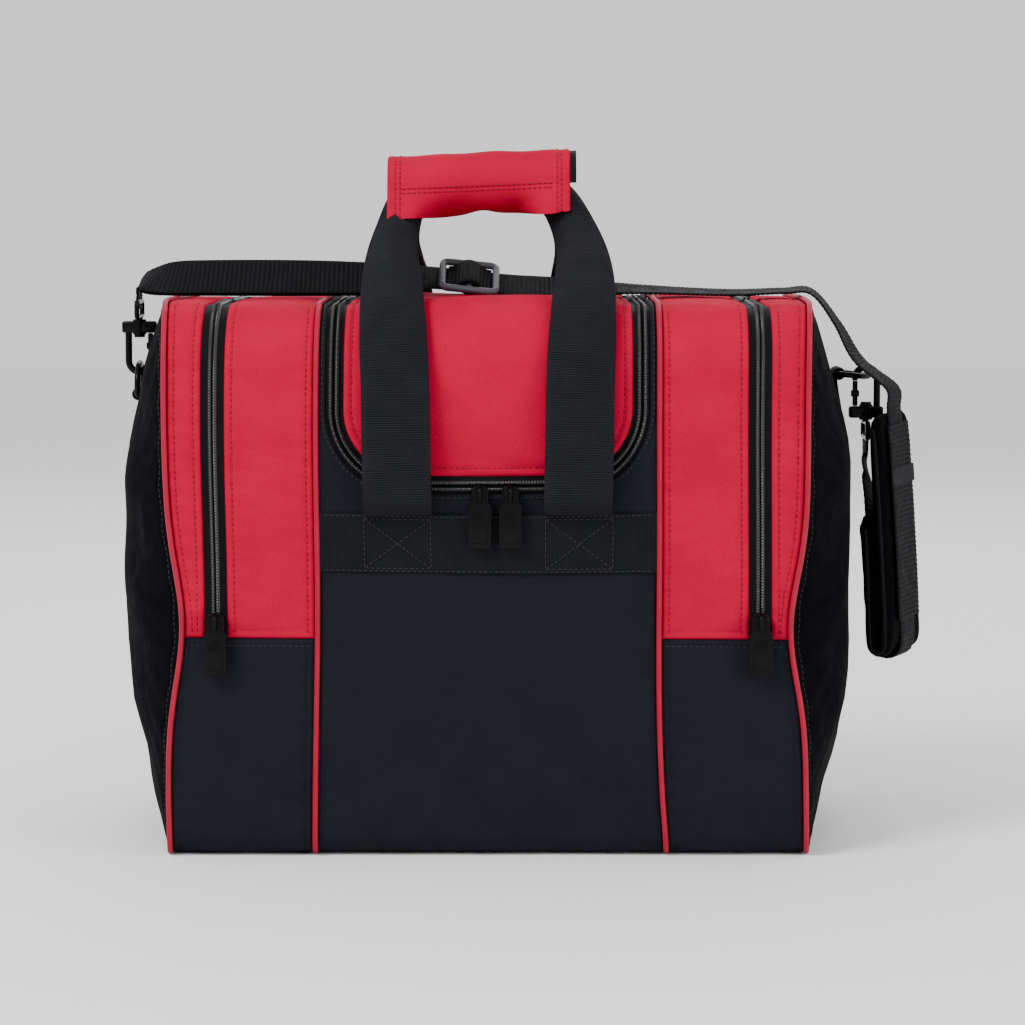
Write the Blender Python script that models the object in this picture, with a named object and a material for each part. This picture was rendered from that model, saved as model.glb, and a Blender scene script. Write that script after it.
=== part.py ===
"""Bowling ball bag: a soft single-ball tote with two side pockets and a U-shaped zip lid.

Units are metres, +Z is up, +X is to the right and the front of the bag faces -Y.
The origin is on the ground under the middle of the base. Lengths below are written in millimetres
and turned into metres by the builders.
"""
import bpy
import bmesh
from math import sin, cos, pi, radians
from mathutils import Vector

MM = 0.001
GAP = 0.3                    # clearance between neighbouring solids

# ---- shell ----
DEPTH = 230.0                # front face to back face
HEIGHT = 308.0               # base to the top of the lid
TOP_RADIUS = 34.0            # front and rear top edges
BOTTOM_RADIUS = 14.0         # front and rear bottom edges
SKIN = 4.0                   # padded fabric wall
EDGE_X = 178.0               # outer piping, half the width of the front face
SEAM_X = 95.0                # inner piping, between the ball compartment and the pockets
BULGE_X = 213.0              # widest point of the side panels
TOP_BOW = 5.0                # how far the outer seam bows out halfway along the top and the base
PIPING_RADIUS = 2.0
POCKET_SEAM_Z = 122.0        # where the pocket fronts change colour
ZIP_X = 151.5                # middle of the pocket zips
ZIP_HALF = 6.5               # half width of a pocket zip tape

# ---- lid ----
LID_X = 80.0                 # half width of the lid's fabric
LID_BOTTOM_Z = 214.0         # lower edge of the lid's front flap
LID_CORNER = 36.0            # radius of the flap's lower corners
LID_TAPE = 5.0               # lid half of the main zip
BODY_TAPE = 6.5              # body half of the main zip
TAPE_DEPTH = 1.0             # the main zip's tape lies this far below the fabric's face
TAPE_THICKNESS = 1.8
LID_HINGE_GAP = 1.0          # from the hinge line to the lid, and on to the back panel

# ---- handles and grip ----
BAND_LOW = 159.0
BAND_HIGH = 193.0
GRIP_X = -6.0
GRIP_Z = 375.5
GRIP_LENGTH = 106.0
GRIP_RADIUS = 18.5
GRIP_BORE = 9.5
GRIP_TILT = sin(radians(2.4))
HANDLE_PIVOT_Y = 118.8       # where a handle's webbing leaves its band
BAND_HALF = 92.5
BAND_FACES = (115.3, 117.3)  # back and front of a handle's band, from the middle of the bag

# ---- shoulder strap ----
STRAP_WIDTH = 25.0
STRAP = 2.0
PAD_TURN = radians(24)       # the pad's face turns towards the front
PAD_WIDTH = 60.0
PAD_END_WIDTH = 44.0
PAD = 7.5
RING_WIRE = 1.75
RING_WIDTH = 27.5
RING_HEIGHT = 18.0
RING_Y = 24.0
HOOK_WIRE = 2.0
HOOK_HALF = 6.5
HOOK_LENGTH = 24.0           # bend to body block

EYE_WIRE = 1.5               # the strap's eye in a snap hook
EYE_HALF = 14.6
EYE_HEIGHT = 9.0
HOOK_BLOCK_HALF = (10.2, 3.6)
HOOK_BLOCK = (-0.8, 6.2)     # its foot and head from the end of the bar
SWIVEL_RISE = 3.5            # from the end of the bar to the swivel's middle
TAB_WIDTH = 24.0             # webbing that holds a D-ring
TAB = 1.6
TAB_FOOT = 26.0              # down from the ring's bar

# ---- zip sliders ----
SLIDER_LENGTH = 14.0
SLIDER_WIDTH = 10.0
SLIDER_RISE = 2.8            # thickness of the slider's front plate
PIN_RISE = 5.6               # the pull's pin stands this far in front of the zip
PULL_LENGTH = 31.0
PULL_WIDTH = 13.0
PULL = 1.8
MAIN_SLIDER_X = (-4.5, 12.5)
MAIN_SLIDER_Z = 204.0
POCKET_SLIDER_Z = 133.0

# ---- inside ----
BOARD = 4.0                  # stiff base board
BOARD_HALF = (108.0, 98.0)
DIVIDER_X = 111.0
DIVIDER = 3.0
DIVIDER_HALF_DEPTH = 100.0
DIVIDER_TOP_Z = 262.0
# section of the foam ring that holds the ball: radius and height
BALL_RING = ((50, 8.6), (75, 8.6), (75, 36), (66, 44), (58, 40), (50, 28))

MATERIALS = {
    "red_fabric": ((0.68, 0.016, 0.08), 0.75, 0.0),
    "black_fabric": ((0.013, 0.014, 0.02), 0.8, 0.0),
    "webbing": ((0.018, 0.018, 0.023), 0.7, 0.0),
    "zip_tape": ((0.01, 0.01, 0.013), 0.75, 0.0),
    "red_piping": ((0.66, 0.03, 0.07), 0.6, 0.0),
    "black_metal": ((0.012, 0.012, 0.013), 0.35, 0.8),
    "gray_plastic": ((0.09, 0.09, 0.11), 0.45, 0.0),
    "pad_foam": ((0.008, 0.008, 0.01), 0.85, 0.0),
    "liner_board": ((0.02, 0.02, 0.022), 0.85, 0.0),
}


def clear_scene():
    for obj in list(bpy.data.objects):
        bpy.data.objects.remove(obj, do_unlink=True)


def material(name):
    found = bpy.data.materials.get(name)
    if found:
        return found
    colour, roughness, metallic = MATERIALS[name]
    made = bpy.data.materials.new(name)
    made.use_nodes = True
    shader = made.node_tree.nodes["Principled BSDF"]
    shader.inputs["Base Color"].default_value = (*colour, 1.0)
    shader.inputs["Roughness"].default_value = roughness
    shader.inputs["Metallic"].default_value = metallic
    return made


def add_object(name, mesh, finish, origin=(0, 0, 0)):
    """Link the mesh as a named object whose origin sits at the given point, in millimetres."""
    obj = bpy.data.objects.new(name, mesh)
    bpy.context.collection.objects.link(obj)
    obj.data.materials.append(material(finish))
    place = Vector(origin) * MM
    for vertex in mesh.vertices:
        vertex.co -= place
    obj.location = place
    return obj


def loft(name, rings, finish, origin=(0, 0, 0), closed=False):
    """Skin a list of equal rings (points in millimetres) and cap both ends unless it closes on itself."""
    made = bmesh.new()
    loops = [[made.verts.new(Vector(point) * MM) for point in ring] for ring in rings]
    pairs = list(zip(loops, loops[1:]))
    if closed:
        pairs.append((loops[-1], loops[0]))
    count = len(loops[0])
    for low, high in pairs:
        for i in range(count):
            j = (i + 1) % count
            made.faces.new((low[i], low[j], high[j], high[i]))
    if not closed:
        made.faces.new(loops[0])
        made.faces.new(loops[-1])
    bmesh.ops.recalc_face_normals(made, faces=made.faces)
    bmesh.ops.triangulate(made, faces=made.faces)
    mesh = bpy.data.meshes.new(name)
    made.to_mesh(mesh)
    made.free()
    return add_object(name, mesh, finish, origin)


def flat_section(centre, ahead, across, width, thickness):
    """Four corners of webbing or padding cut square to the way that it runs."""
    ahead = ahead.normalized()
    across = (across - ahead * across.dot(ahead)).normalized()
    w = across * (width / 2)
    n = across.cross(ahead).normalized() * (thickness / 2)
    return [tuple(centre + corner) for corner in (w + n, n - w, -w - n, w - n)]


def ahead_at(path, i):
    """Direction of a path of vectors at one of its points."""
    return path[min(i + 1, len(path) - 1)] - path[max(i - 1, 0)]


def box_rings(low, high):
    """Two rectangular rings that make a box."""
    corners = [(low[0], low[1]), (high[0], low[1]), (high[0], high[1]), (low[0], high[1])]
    return [[(x, y, z) for x, y in corners] for z in (low[2], high[2])]


# ---------------------------------------------------------------- the bag's front-to-back profile

FRONT_RUN = HEIGHT - TOP_RADIUS - BOTTOM_RADIUS
TOP_ARC = TOP_RADIUS * pi / 2
TOP_RUN = DEPTH - 2 * TOP_RADIUS
BASE_ARC = BOTTOM_RADIUS * pi / 2
BASE_RUN = DEPTH - 2 * BOTTOM_RADIUS
S_FOLD = FRONT_RUN                       # end of the flat front
S_TOP = S_FOLD + TOP_ARC                 # start of the flat top
S_REAR = S_TOP + TOP_RUN                 # end of the flat top
S_BACK = S_REAR + TOP_ARC                # start of the flat back
S_BASE = S_BACK + FRONT_RUN              # end of the flat back
S_LOOP = S_BASE + 2 * BASE_ARC + BASE_RUN


def skin(s, depth=0.0):
    """Point (y, z) at distance s along the profile, from the foot of the front, at a depth below it."""
    s = s % S_LOOP
    half = DEPTH / 2
    if s <= S_FOLD:
        return -half + depth, BOTTOM_RADIUS + s
    if s <= S_TOP:
        angle = pi - (s - S_FOLD) / TOP_RADIUS
        reach = TOP_RADIUS - depth
        return -half + TOP_RADIUS + reach * cos(angle), HEIGHT - TOP_RADIUS + reach * sin(angle)
    if s <= S_REAR:
        return -half + TOP_RADIUS + s - S_TOP, HEIGHT - depth
    if s <= S_BACK:
        angle = pi / 2 - (s - S_REAR) / TOP_RADIUS
        reach = TOP_RADIUS - depth
        return half - TOP_RADIUS + reach * cos(angle), HEIGHT - TOP_RADIUS + reach * sin(angle)
    if s <= S_BASE:
        return half - depth, HEIGHT - TOP_RADIUS - (s - S_BACK)
    reach = BOTTOM_RADIUS - depth
    if s <= S_BASE + BASE_ARC:
        angle = -(s - S_BASE) / BOTTOM_RADIUS
        return half - BOTTOM_RADIUS + reach * cos(angle), BOTTOM_RADIUS + reach * sin(angle)
    if s <= S_BASE + BASE_ARC + BASE_RUN:
        return half - BOTTOM_RADIUS - (s - S_BASE - BASE_ARC), depth
    angle = -pi / 2 - (s - S_BASE - BASE_ARC - BASE_RUN) / BOTTOM_RADIUS
    return -half + BOTTOM_RADIUS + reach * cos(angle), BOTTOM_RADIUS + reach * sin(angle)


def front_s(z):
    """Distance along the profile of a height on the flat front."""
    return z - BOTTOM_RADIUS


def samples(start, end):
    """Stations between two distances: ends, corners of the profile, and steps round its curves."""
    marks = {start, end}
    steps = [S_FOLD + TOP_ARC * i / 5 for i in range(6)]
    steps += [S_TOP + TOP_RUN * i / 4 for i in range(5)]
    steps += [S_REAR + TOP_ARC * i / 5 for i in range(6)]
    steps += [S_BASE + BASE_ARC * i / 3 for i in range(4)]
    steps += [S_BASE + BASE_ARC + BASE_RUN * i / 4 for i in range(5)]
    steps += [S_BASE + BASE_ARC + BASE_RUN + BASE_ARC * i / 3 for i in range(4)]
    marks.update(s for s in steps if start + 1.0 < s < end - 1.0)
    return sorted(marks)


def edge_x(s):
    """Half width of the shell at the outer seam, which bows out along the top and the base."""
    y, _ = skin(s)
    return EDGE_X + TOP_BOW * (1 - (2 * y / DEPTH) ** 2)


def wall(name, left, right, start, end, finish, outer=0.0, thickness=SKIN, origin=(0, 0, 0)):
    """A panel of the shell between two side edges, which are numbers or functions of the distance."""
    rings = []
    for s in samples(start, end):
        x0 = left(s) if callable(left) else left
        x1 = right(s) if callable(right) else right
        face = skin(s, outer)
        back = skin(s, outer + thickness)
        rings.append([(x0, *face), (x1, *face), (x1, *back), (x0, *back)])
    return loft(name, rings, finish, origin)


def sides():
    return (("left", -1), ("right", 1))


def ordered(sign, near, far):
    """Left and right edges of a panel from its edges nearer to and further from the middle."""
    if sign > 0:
        return near, far
    return (
        (lambda s: -far(s)) if callable(far) else -far,
        (lambda s: -near(s)) if callable(near) else -near,
    )


# ---------------------------------------------------------------- shell

def outer_edge(s):
    return edge_x(s) - PIPING_RADIUS - GAP


def make_shell():
    seam_in = SEAM_X - PIPING_RADIUS - GAP
    seam_out = SEAM_X + PIPING_RADIUS + GAP
    base_start = S_BASE + GAP
    wall("base_panel", lambda s: -outer_edge(s), outer_edge, base_start, S_LOOP - GAP, "black_fabric")
    half_x, half_y = BOARD_HALF
    low, high = (-half_x, -half_y, SKIN + GAP), (half_x, half_y, SKIN + GAP + BOARD)
    loft("base_board", box_rings(low, high), "liner_board")
    panel_top = LID_BOTTOM_Z - LID_TAPE - BODY_TAPE - 4 * GAP
    wall("front_centre_panel", -seam_in, seam_in, 0, front_s(panel_top), "black_fabric")
    wall("back_centre_panel", -seam_in, seam_in, S_REAR + 2 * LID_HINGE_GAP, S_BASE, "black_fabric")
    seam = front_s(POCKET_SEAM_Z)
    for side, sign in sides():
        left, right = ordered(sign, seam_out, outer_edge)
        wall(f"{side}_front_pocket_panel", left, right, 0, seam - GAP, "black_fabric")
        wall(f"{side}_back_panel", left, right, S_REAR + GAP, S_BASE, "black_fabric")
        left, right = ordered(sign, seam_out, ZIP_X - ZIP_HALF - GAP)
        wall(f"{side}_inner_pocket_strip", left, right, seam, S_REAR, "red_fabric")
        left, right = ordered(sign, ZIP_X + ZIP_HALF + GAP, outer_edge)
        wall(f"{side}_outer_pocket_strip", left, right, seam, S_REAR, "red_fabric")
        left, right = ordered(sign, ZIP_X - ZIP_HALF, ZIP_X + ZIP_HALF)
        wall(f"{side}_pocket_zip", left, right, seam, S_REAR, "zip_tape", outer=0.8, thickness=2.0)


def piping(name, x_at, finish):
    """A corded edge: a round bead up the front, over the top and down the back."""
    rings = []
    sides_of_bead = 6
    for s in samples(0, S_BASE):
        ring = []
        for i in range(sides_of_bead):
            angle = 2 * pi * i / sides_of_bead
            y, z = skin(s, -PIPING_RADIUS * sin(angle))
            ring.append((x_at(s) + PIPING_RADIUS * cos(angle), y, z))
        rings.append(ring)
    return loft(name, rings, finish)


def make_pipings():
    for side, sign in sides():
        piping(f"{side}_inner_piping", lambda s, k=sign: k * SEAM_X, "red_piping")
        piping(f"{side}_outer_piping", lambda s, k=sign: k * edge_x(s), "red_piping")


def bulge(inward):
    """Share of the full bulge at a share of the way from the seam to the middle of a side panel."""
    return 1 - (1 - inward) ** 1.9


def side_panel_x(y, z):
    """Outer surface of the side panel at a place on it, measured from the middle of the bag."""
    middle = HEIGHT / 2
    inward = 1 - max(abs(2 * y / DEPTH), abs(z - middle) / middle)
    rim = EDGE_X + TOP_BOW * (1 - (2 * y / DEPTH) ** 2) + PIPING_RADIUS + GAP
    return rim + (BULGE_X - rim) * bulge(max(inward, 0))


def make_side_panels():
    stations = samples(0, S_LOOP - 0.01)[:-1]
    for share in (1 / 3, 2 / 3):
        stations += [FRONT_RUN * share, S_BACK + FRONT_RUN * share]
    stations.sort()
    shares = (0.0, 0.07, 0.18, 0.35, 0.6, 0.88)
    middle = HEIGHT / 2
    for side, sign in sides():
        faces = []
        for depth in (0.0, SKIN):
            for share in shares:
                ring = []
                for s in stations:
                    y, z = skin(s)
                    rim = edge_x(s) + PIPING_RADIUS + GAP
                    x = rim + (BULGE_X - rim) * bulge(share) - depth * (share > 0)
                    shrink = (1 - share) if share > 0 or depth == 0 else 1 - SKIN / 150
                    ring.append((sign * x, y * shrink, middle + (z - middle) * shrink))
                faces.append(ring)
        outer, inner = faces[:len(shares)], faces[len(shares):]
        loft(f"{side}_side_panel", outer[::-1] + inner, "black_fabric")


# ---------------------------------------------------------------- main zip and lid

def tape(name, half_width, corner, low_s, width, square=False, start=S_REAR, origin=(0, 0, 0)):
    """A U of zip tape on the shell: down one side, round two corners and up the other side.

    half_width is the tape's inner edge from the middle and low_s that edge's place at the bottom.
    A square tape fills its outer corners, where it joins the panel around it.
    """
    path = [(-half_width, s, -1, 0, width) for s in samples(low_s + corner, start)[::-1]]
    steps = 6
    for i in range(1, steps + 1):
        angle = pi + (pi / 2) * i / steps
        across, along = cos(angle), sin(angle)
        reach = width
        if square:
            reach = (corner + width) / max(abs(across), abs(along)) - corner
        path.append((-half_width + corner + corner * across, low_s + corner + corner * along,
                     across, along, reach))
    mirrored = [(-x, s, -nx, ns, reach) for x, s, nx, ns, reach in path[::-1]]
    outer, inner = TAPE_DEPTH, TAPE_DEPTH + TAPE_THICKNESS
    rings = []
    for x, s, nx, ns, reach in path + mirrored:
        ring = []
        for out, depth in ((0, outer), (reach, outer), (reach, inner), (0, inner)):
            ring.append((x + nx * out, *skin(s + ns * out, depth)))
        rings.append(ring)
    return loft(name, rings, "zip_tape", origin)


def lid_front_rings():
    """The front flap's outline, from its straight top down to its rounded lower corners."""
    low = front_s(LID_BOTTOM_Z)
    rows = [(S_FOLD - GAP, LID_X), (low + LID_CORNER, LID_X)]
    steps = 6
    for i in range(1, steps + 1):
        angle = (pi / 2) * i / steps
        half = LID_X - LID_CORNER * (1 - cos(angle))
        rows.append((low + LID_CORNER * (1 - sin(angle)), half))
    rings = []
    for s, half in rows:
        face, back = skin(s), skin(s, SKIN)
        rings.append([(-half, *face), (half, *face), (half, *back), (-half, *back)])
    return rings


def make_lid():
    hinge = (0, DEPTH / 2 - TOP_RADIUS + LID_HINGE_GAP, HEIGHT)
    fold = (0, -DEPTH / 2 + SKIN, HEIGHT - TOP_RADIUS)
    wall("lid_top_panel", -LID_X, LID_X, S_FOLD, S_REAR, "red_fabric", origin=hinge)
    loft("lid_front_panel", lid_front_rings(), "red_fabric", origin=fold)
    tape_x = LID_X + GAP
    for side, sign in sides():
        left, right = ordered(sign, tape_x, tape_x + LID_TAPE)
        wall(f"{side}_lid_zip", left, right, S_FOLD, S_REAR, "zip_tape", TAPE_DEPTH, TAPE_THICKNESS, hinge)
    low = front_s(LID_BOTTOM_Z) - GAP
    tape("lid_front_zip", tape_x, LID_CORNER + GAP, low, LID_TAPE, start=S_FOLD - GAP, origin=fold)
    body_x = tape_x + LID_TAPE + GAP
    corner = LID_CORNER + LID_TAPE + 2 * GAP
    tape("main_zip_body_tape", body_x, corner, low - LID_TAPE - GAP, BODY_TAPE, square=True)


# ---------------------------------------------------------------- zip sliders

def cylinder_cutter(name, centre, radius, length, axis):
    """A round tool along an axis, used by a Boolean and left out of the bag."""
    rings = []
    sides_of_round = 12
    for end in (-0.5, 0.5):
        ring = []
        for i in range(sides_of_round):
            angle = 2 * pi * i / sides_of_round
            flat = (radius * cos(angle), radius * sin(angle))
            point = {"X": (end * length, *flat), "Y": (flat[0], end * length, flat[1]),
                     "Z": (*flat, end * length)}[axis]
            ring.append(tuple(c + p for c, p in zip(centre, point)))
        rings.append(ring)
    return loft(name, rings, "black_metal")


def hide_tool(obj):
    obj.hide_render = True
    obj.display_type = "WIRE"
    obj.hide_set(True)


def combine(target, tool, operation):
    """Add or cut one solid with another, keeping the tool hidden in the file."""
    step = target.modifiers.new(operation.lower(), "BOOLEAN")
    step.operation = operation
    step.solver = "EXACT"
    step.object = tool
    hide_tool(tool)


def slider_parts(prefix, x, pin_z, front_y):
    """A slider with a lug, and its pull on a pin through the lug. The zip lies behind front_y."""
    pin_y = front_y - PIN_RISE
    plate_low, plate_high = pin_z - SLIDER_LENGTH + 4, pin_z + 4
    half = SLIDER_WIDTH / 2
    origin = (x, pin_y, pin_z)
    rings = []
    for z, share in ((plate_low, 0.6), (plate_low + 4, 1.0), (plate_high - 4, 1.0), (plate_high, 0.75)):
        w = half * share
        face_y = front_y - SLIDER_RISE
        rings.append([(x - w, face_y, z), (x + w, face_y, z), (x + w, front_y, z), (x - w, front_y, z)])
    body = loft(f"{prefix}_slider", rings, "black_metal", origin)
    low = (x - 1.6, pin_y - 2.3, pin_z - 2.3)
    high = (x + 1.6, front_y - 2.0, pin_z + 2.3)
    lug = loft(f"{prefix}_lug_tool", box_rings(low, high), "black_metal", origin)
    combine(body, lug, "UNION")
    hole = cylinder_cutter(f"{prefix}_hole_tool", origin, 1.25, 8, "X")
    combine(body, hole, "DIFFERENCE")
    pull_plate(prefix, x, pin_y, pin_z, origin)


def pull_plate(prefix, x, pin_y, pin_z, origin):
    """The pull: a forked neck round the lug, a pin through it, and a long rounded tab that hangs down."""
    fork, arm = 2.1, 4.2
    half = PULL_WIDTH / 2
    top, neck, low = pin_z + 1.7, pin_z - 4.5, pin_z - PULL_LENGTH
    outline = [(fork, top), (arm, top), (arm, neck), (half, neck - 3), (half, low + 3), (half - 3, low)]
    right = [(x + dx, z) for dx, z in outline]
    left = [(x - dx, z) for dx, z in outline[::-1]]
    notch = [(x - fork, pin_z - 3.4), (x + fork, pin_z - 3.4)]
    flat = right + left + notch
    rings = [[(px, y, pz) for px, pz in flat] for y in (pin_y - PULL / 2, pin_y + PULL / 2)]
    pull = loft(f"{prefix}_pull", rings, "black_metal", origin)
    pin = cylinder_cutter(f"{prefix}_pin_tool", origin, 0.8, 6.4, "X")
    combine(pull, pin, "UNION")


def make_sliders():
    face = -DEPTH / 2 - GAP
    for (side, sign), x in zip(sides(), MAIN_SLIDER_X):
        slider_parts(f"main_{side}", x, MAIN_SLIDER_Z, face - 1.2)
        slider_parts(f"{side}_pocket", sign * ZIP_X, POCKET_SLIDER_Z, face - GAP)


# ---------------------------------------------------------------- handles

# one side of a handle: x, distance in front of the middle, z, turn towards the middle, width, thickness
HANDLE_SIDE = (
    (50.0, HANDLE_PIVOT_Y, 193.5, 0, 38, 2.4),
    (50.0, 126.5, 197.0, 0, 38, 2.4),
    (50.0, 130.0, 206.0, 0, 38, 2.4),
    (50.5, 128.5, 228.0, 0, 38, 2.4),
    (51.0, 125.5, 262.0, 0, 38, 2.4),
    (52.0, 121.5, 286.0, 0, 37, 2.4),
    (53.0, 111.0, 306.0, 0, 35, 2.6),
    (54.0, 84.0, 326.0, 2, 32, 2.8),
    (53.5, 54.0, 342.0, 10, 27, 3.2),
    (50.5, 31.0, 355.0, 28, 20, 3.6),
    (45.0, 14.5, 366.5, 52, 15, 4.0),
    (37.5, 5.6, 372.8, 78, 12.5, 4.4),
    (29.0, 3.9, 375.5, 90, 11, 4.6),
)


def handle_rings(face):
    """Sections from the foot of one leg, up, through the grip, and down the other leg."""
    rows = [(-1, *row) for row in HANDLE_SIDE] + [(1, *row) for row in HANDLE_SIDE[::-1]]
    centres = []
    for sign, x, reach, z, turn, _, _ in rows:
        share = turn / 90.0
        centres.append(Vector((GRIP_X * share + sign * x, face * reach, z + GRIP_TILT * sign * x * share)))
    rings = []
    for i, (sign, _, _, _, turn, width, thickness) in enumerate(rows):
        angle = radians(turn) if sign < 0 else pi - radians(turn)
        across = Vector((cos(angle), 0, -sin(angle)))
        rings.append(flat_section(centres[i], ahead_at(centres, i), across, width, thickness))
    return rings


def grip_rings(face):
    """A half wrap: closed below the webbing in the middle, and only a roof over the legs at its ends."""
    half = GRIP_LENGTH / 2
    left = ((-half, 35), (-26, 35), (-24, 82), (-22, 129), (-20, 176))
    rows = left + tuple((-dx, sweep) for dx, sweep in left[::-1])
    steps = 8
    rings = []
    for dx, sweep in rows:
        x = GRIP_X + dx
        axis_z = GRIP_Z + GRIP_TILT * dx
        outer, inner = [], []
        for i in range(steps + 1):
            angle = pi / 2 - radians(2 + sweep * i / steps)
            outer.append((x, face * (GRIP_RADIUS * cos(angle) + GAP), axis_z + GRIP_RADIUS * sin(angle)))
            inner.append((x, face * (GRIP_BORE * cos(angle) + GAP), axis_z + GRIP_BORE * sin(angle)))
        rings.append(outer + inner[::-1])
    return rings


def make_handles():
    for label, face in (("front", -1), ("rear", 1)):
        pivot = (0, face * HANDLE_PIVOT_Y, BAND_HIGH + 0.5)
        loft(f"{label}_handle_webbing", handle_rings(face), "webbing", pivot)
        loft(f"grip_{label}_half", grip_rings(face), "red_fabric", pivot)
        back, front = sorted(face * y for y in BAND_FACES)
        low, high = (-BAND_HALF, back, BAND_LOW), (BAND_HALF, front, BAND_HIGH)
        loft(f"{label}_handle_band", box_rings(low, high), "webbing")


# ---------------------------------------------------------------- shoulder strap

def ribbon(name, stations, width, thickness, finish):
    """Flat webbing through stations, each a centre and the direction across the webbing."""
    centres = [Vector(centre) for centre, _ in stations]
    rings = []
    for i, (_, across) in enumerate(stations):
        rings.append(flat_section(centres[i], ahead_at(centres, i), Vector(across), width, thickness))
    return loft(name, rings, finish)


def pitched(degrees):
    """Direction across webbing that runs along X and leans back by an angle."""
    return (0, cos(radians(degrees)), sin(radians(degrees)))


LEFT_RING = (-207.5, RING_Y, 252.0)
RIGHT_RING = (206.5, RING_Y, 264.0)
RIGHT_HOOK_X = RIGHT_RING[0] + 17.0
RIGHT_EYE_Z = 222.5
GLIDE_X = -12.0              # middle of the strap adjuster
GLIDE_Z = 318.4
GLIDE_SLOPE = 0.1            # the strap falls towards the right where it sits
STRAP_Y = 8.0                # the strap crosses the top this far behind the middle
GLIDE_PITCH = 30             # degrees the strap leans back from lying flat at its adjuster

PAD_OUT = Vector((cos(PAD_TURN), -sin(PAD_TURN), 0))
PAD_ACROSS = Vector((sin(PAD_TURN), cos(PAD_TURN), 0))
PAD_Y = -4.0
# middle of the folded pad: height and distance from the middle of the bag
PAD_LINE = ((243, 228.5), (225, 230.5), (205, 232.0), (185, 233.5), (145, 236.0), (112, 237.5))
PAD_FOLD_Z = 104.0
PAD_LEG = 4.4                # half the distance between the middles of its two layers
PAD_INNER_TOP = 3            # the inner layer has this many stations above the fold


def pad_centre(z):
    for (z0, x0), (z1, x1) in zip(PAD_LINE, PAD_LINE[1:]):
        if z1 <= z <= z0:
            return Vector((x1 + (x0 - x1) * (z - z1) / (z0 - z1), PAD_Y, z))
    return Vector((PAD_LINE[-1][1], PAD_Y, z))


def pad_path(offset):
    """Down the outer layer, round the fold and up the inner layer, at a distance outside the middle line."""
    leg = PAD_LEG + offset
    down = [pad_centre(z) + PAD_OUT * leg for z, _ in PAD_LINE]
    fold = []
    for degrees in (30, 60, 90, 120, 150):
        angle = radians(degrees)
        middle = pad_centre(PAD_FOLD_Z + 4)
        fold.append(middle + PAD_OUT * (leg * cos(angle)) + Vector((0, 0, -leg * sin(angle))))
    up = [pad_centre(z) - PAD_OUT * leg for z, _ in PAD_LINE[::-1]][:PAD_INNER_TOP]
    return down + fold + up


def make_pad():
    path = pad_path(0)
    rings = []
    last = len(path) - 1
    for i, centre in enumerate(path):
        width = PAD_END_WIDTH if i in (0, last) else PAD_WIDTH
        rings.append(flat_section(centre, ahead_at(path, i), PAD_ACROSS, width, PAD))
    loft("shoulder_pad", rings, "pad_foam")


def glide_z(x):
    """Height of the strap's middle on the straight where the adjuster sits."""
    return GLIDE_Z - (x - GLIDE_X) * GLIDE_SLOPE


def make_strap():
    left = [
        ((LEFT_RING[0], RING_Y, LEFT_RING[2] + 57.0), (0, 1, 0)),
        ((-207, 24.5, 316), (0, 1, 0.2)),
        ((-202, 22, 319.5), pitched(25)),
        ((-188, 16, 320.7), pitched(45)),
        ((-165, 12, 321.2), pitched(50)),
        ((-110, STRAP_Y, 321.2), pitched(50)),
        ((-60, STRAP_Y, 320.6), pitched(42)),
        ((-36, STRAP_Y, glide_z(-36)), pitched(GLIDE_PITCH)),
        ((GLIDE_X - GAP, STRAP_Y, glide_z(GLIDE_X - GAP)), pitched(GLIDE_PITCH)),
    ]
    ribbon("shoulder_strap_left_run", left, STRAP_WIDTH, STRAP, "webbing")
    pad_run = pad_path(PAD / 2 + GAP + STRAP / 2)
    rise = (pad_run[0] - pad_run[1]).normalized()
    across = tuple(PAD_ACROSS)
    right = [
        ((GLIDE_X + GAP, STRAP_Y, glide_z(GLIDE_X + GAP)), pitched(GLIDE_PITCH)),
        ((12, STRAP_Y, glide_z(12)), pitched(GLIDE_PITCH)),
        ((40, STRAP_Y, 315.4), pitched(24)),
        ((90, 7, 313.8), pitched(10)),
        ((140, 6, 312.0), pitched(6)),
        ((172, 4, 313.0), pitched(5)),
        ((189, 2, 312.4), (0.1, 1, 0.1)),
        ((204, 1, 294.0), (0.25, 1, 0.0)),
        ((216, -6, 273.0), (0.35, 0.95, 0.0)),
        (tuple(pad_run[0] + rise * 14.0), across),
        (tuple(pad_run[0] + rise * 4.5), across),
    ]
    ribbon("shoulder_strap_right_run", right, STRAP_WIDTH, STRAP, "webbing")
    run = [(tuple(pad_run[0] + rise * 4.0), across)]
    run += [(tuple(point), across) for point in pad_run]
    eye = Vector((RIGHT_HOOK_X, RING_Y, RIGHT_EYE_Z))
    run.append((tuple(pad_run[-1].lerp(eye, 0.45) + Vector((0, 0, -2))), (0.2, 0.98, 0)))
    run.append((tuple(eye + Vector((0, -0.5, -12))), (0.05, 1, 0)))
    run.append((tuple(eye), (0, 1, 0)))
    ribbon("shoulder_strap_pad_run", run, STRAP_WIDTH, STRAP, "webbing")


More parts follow.
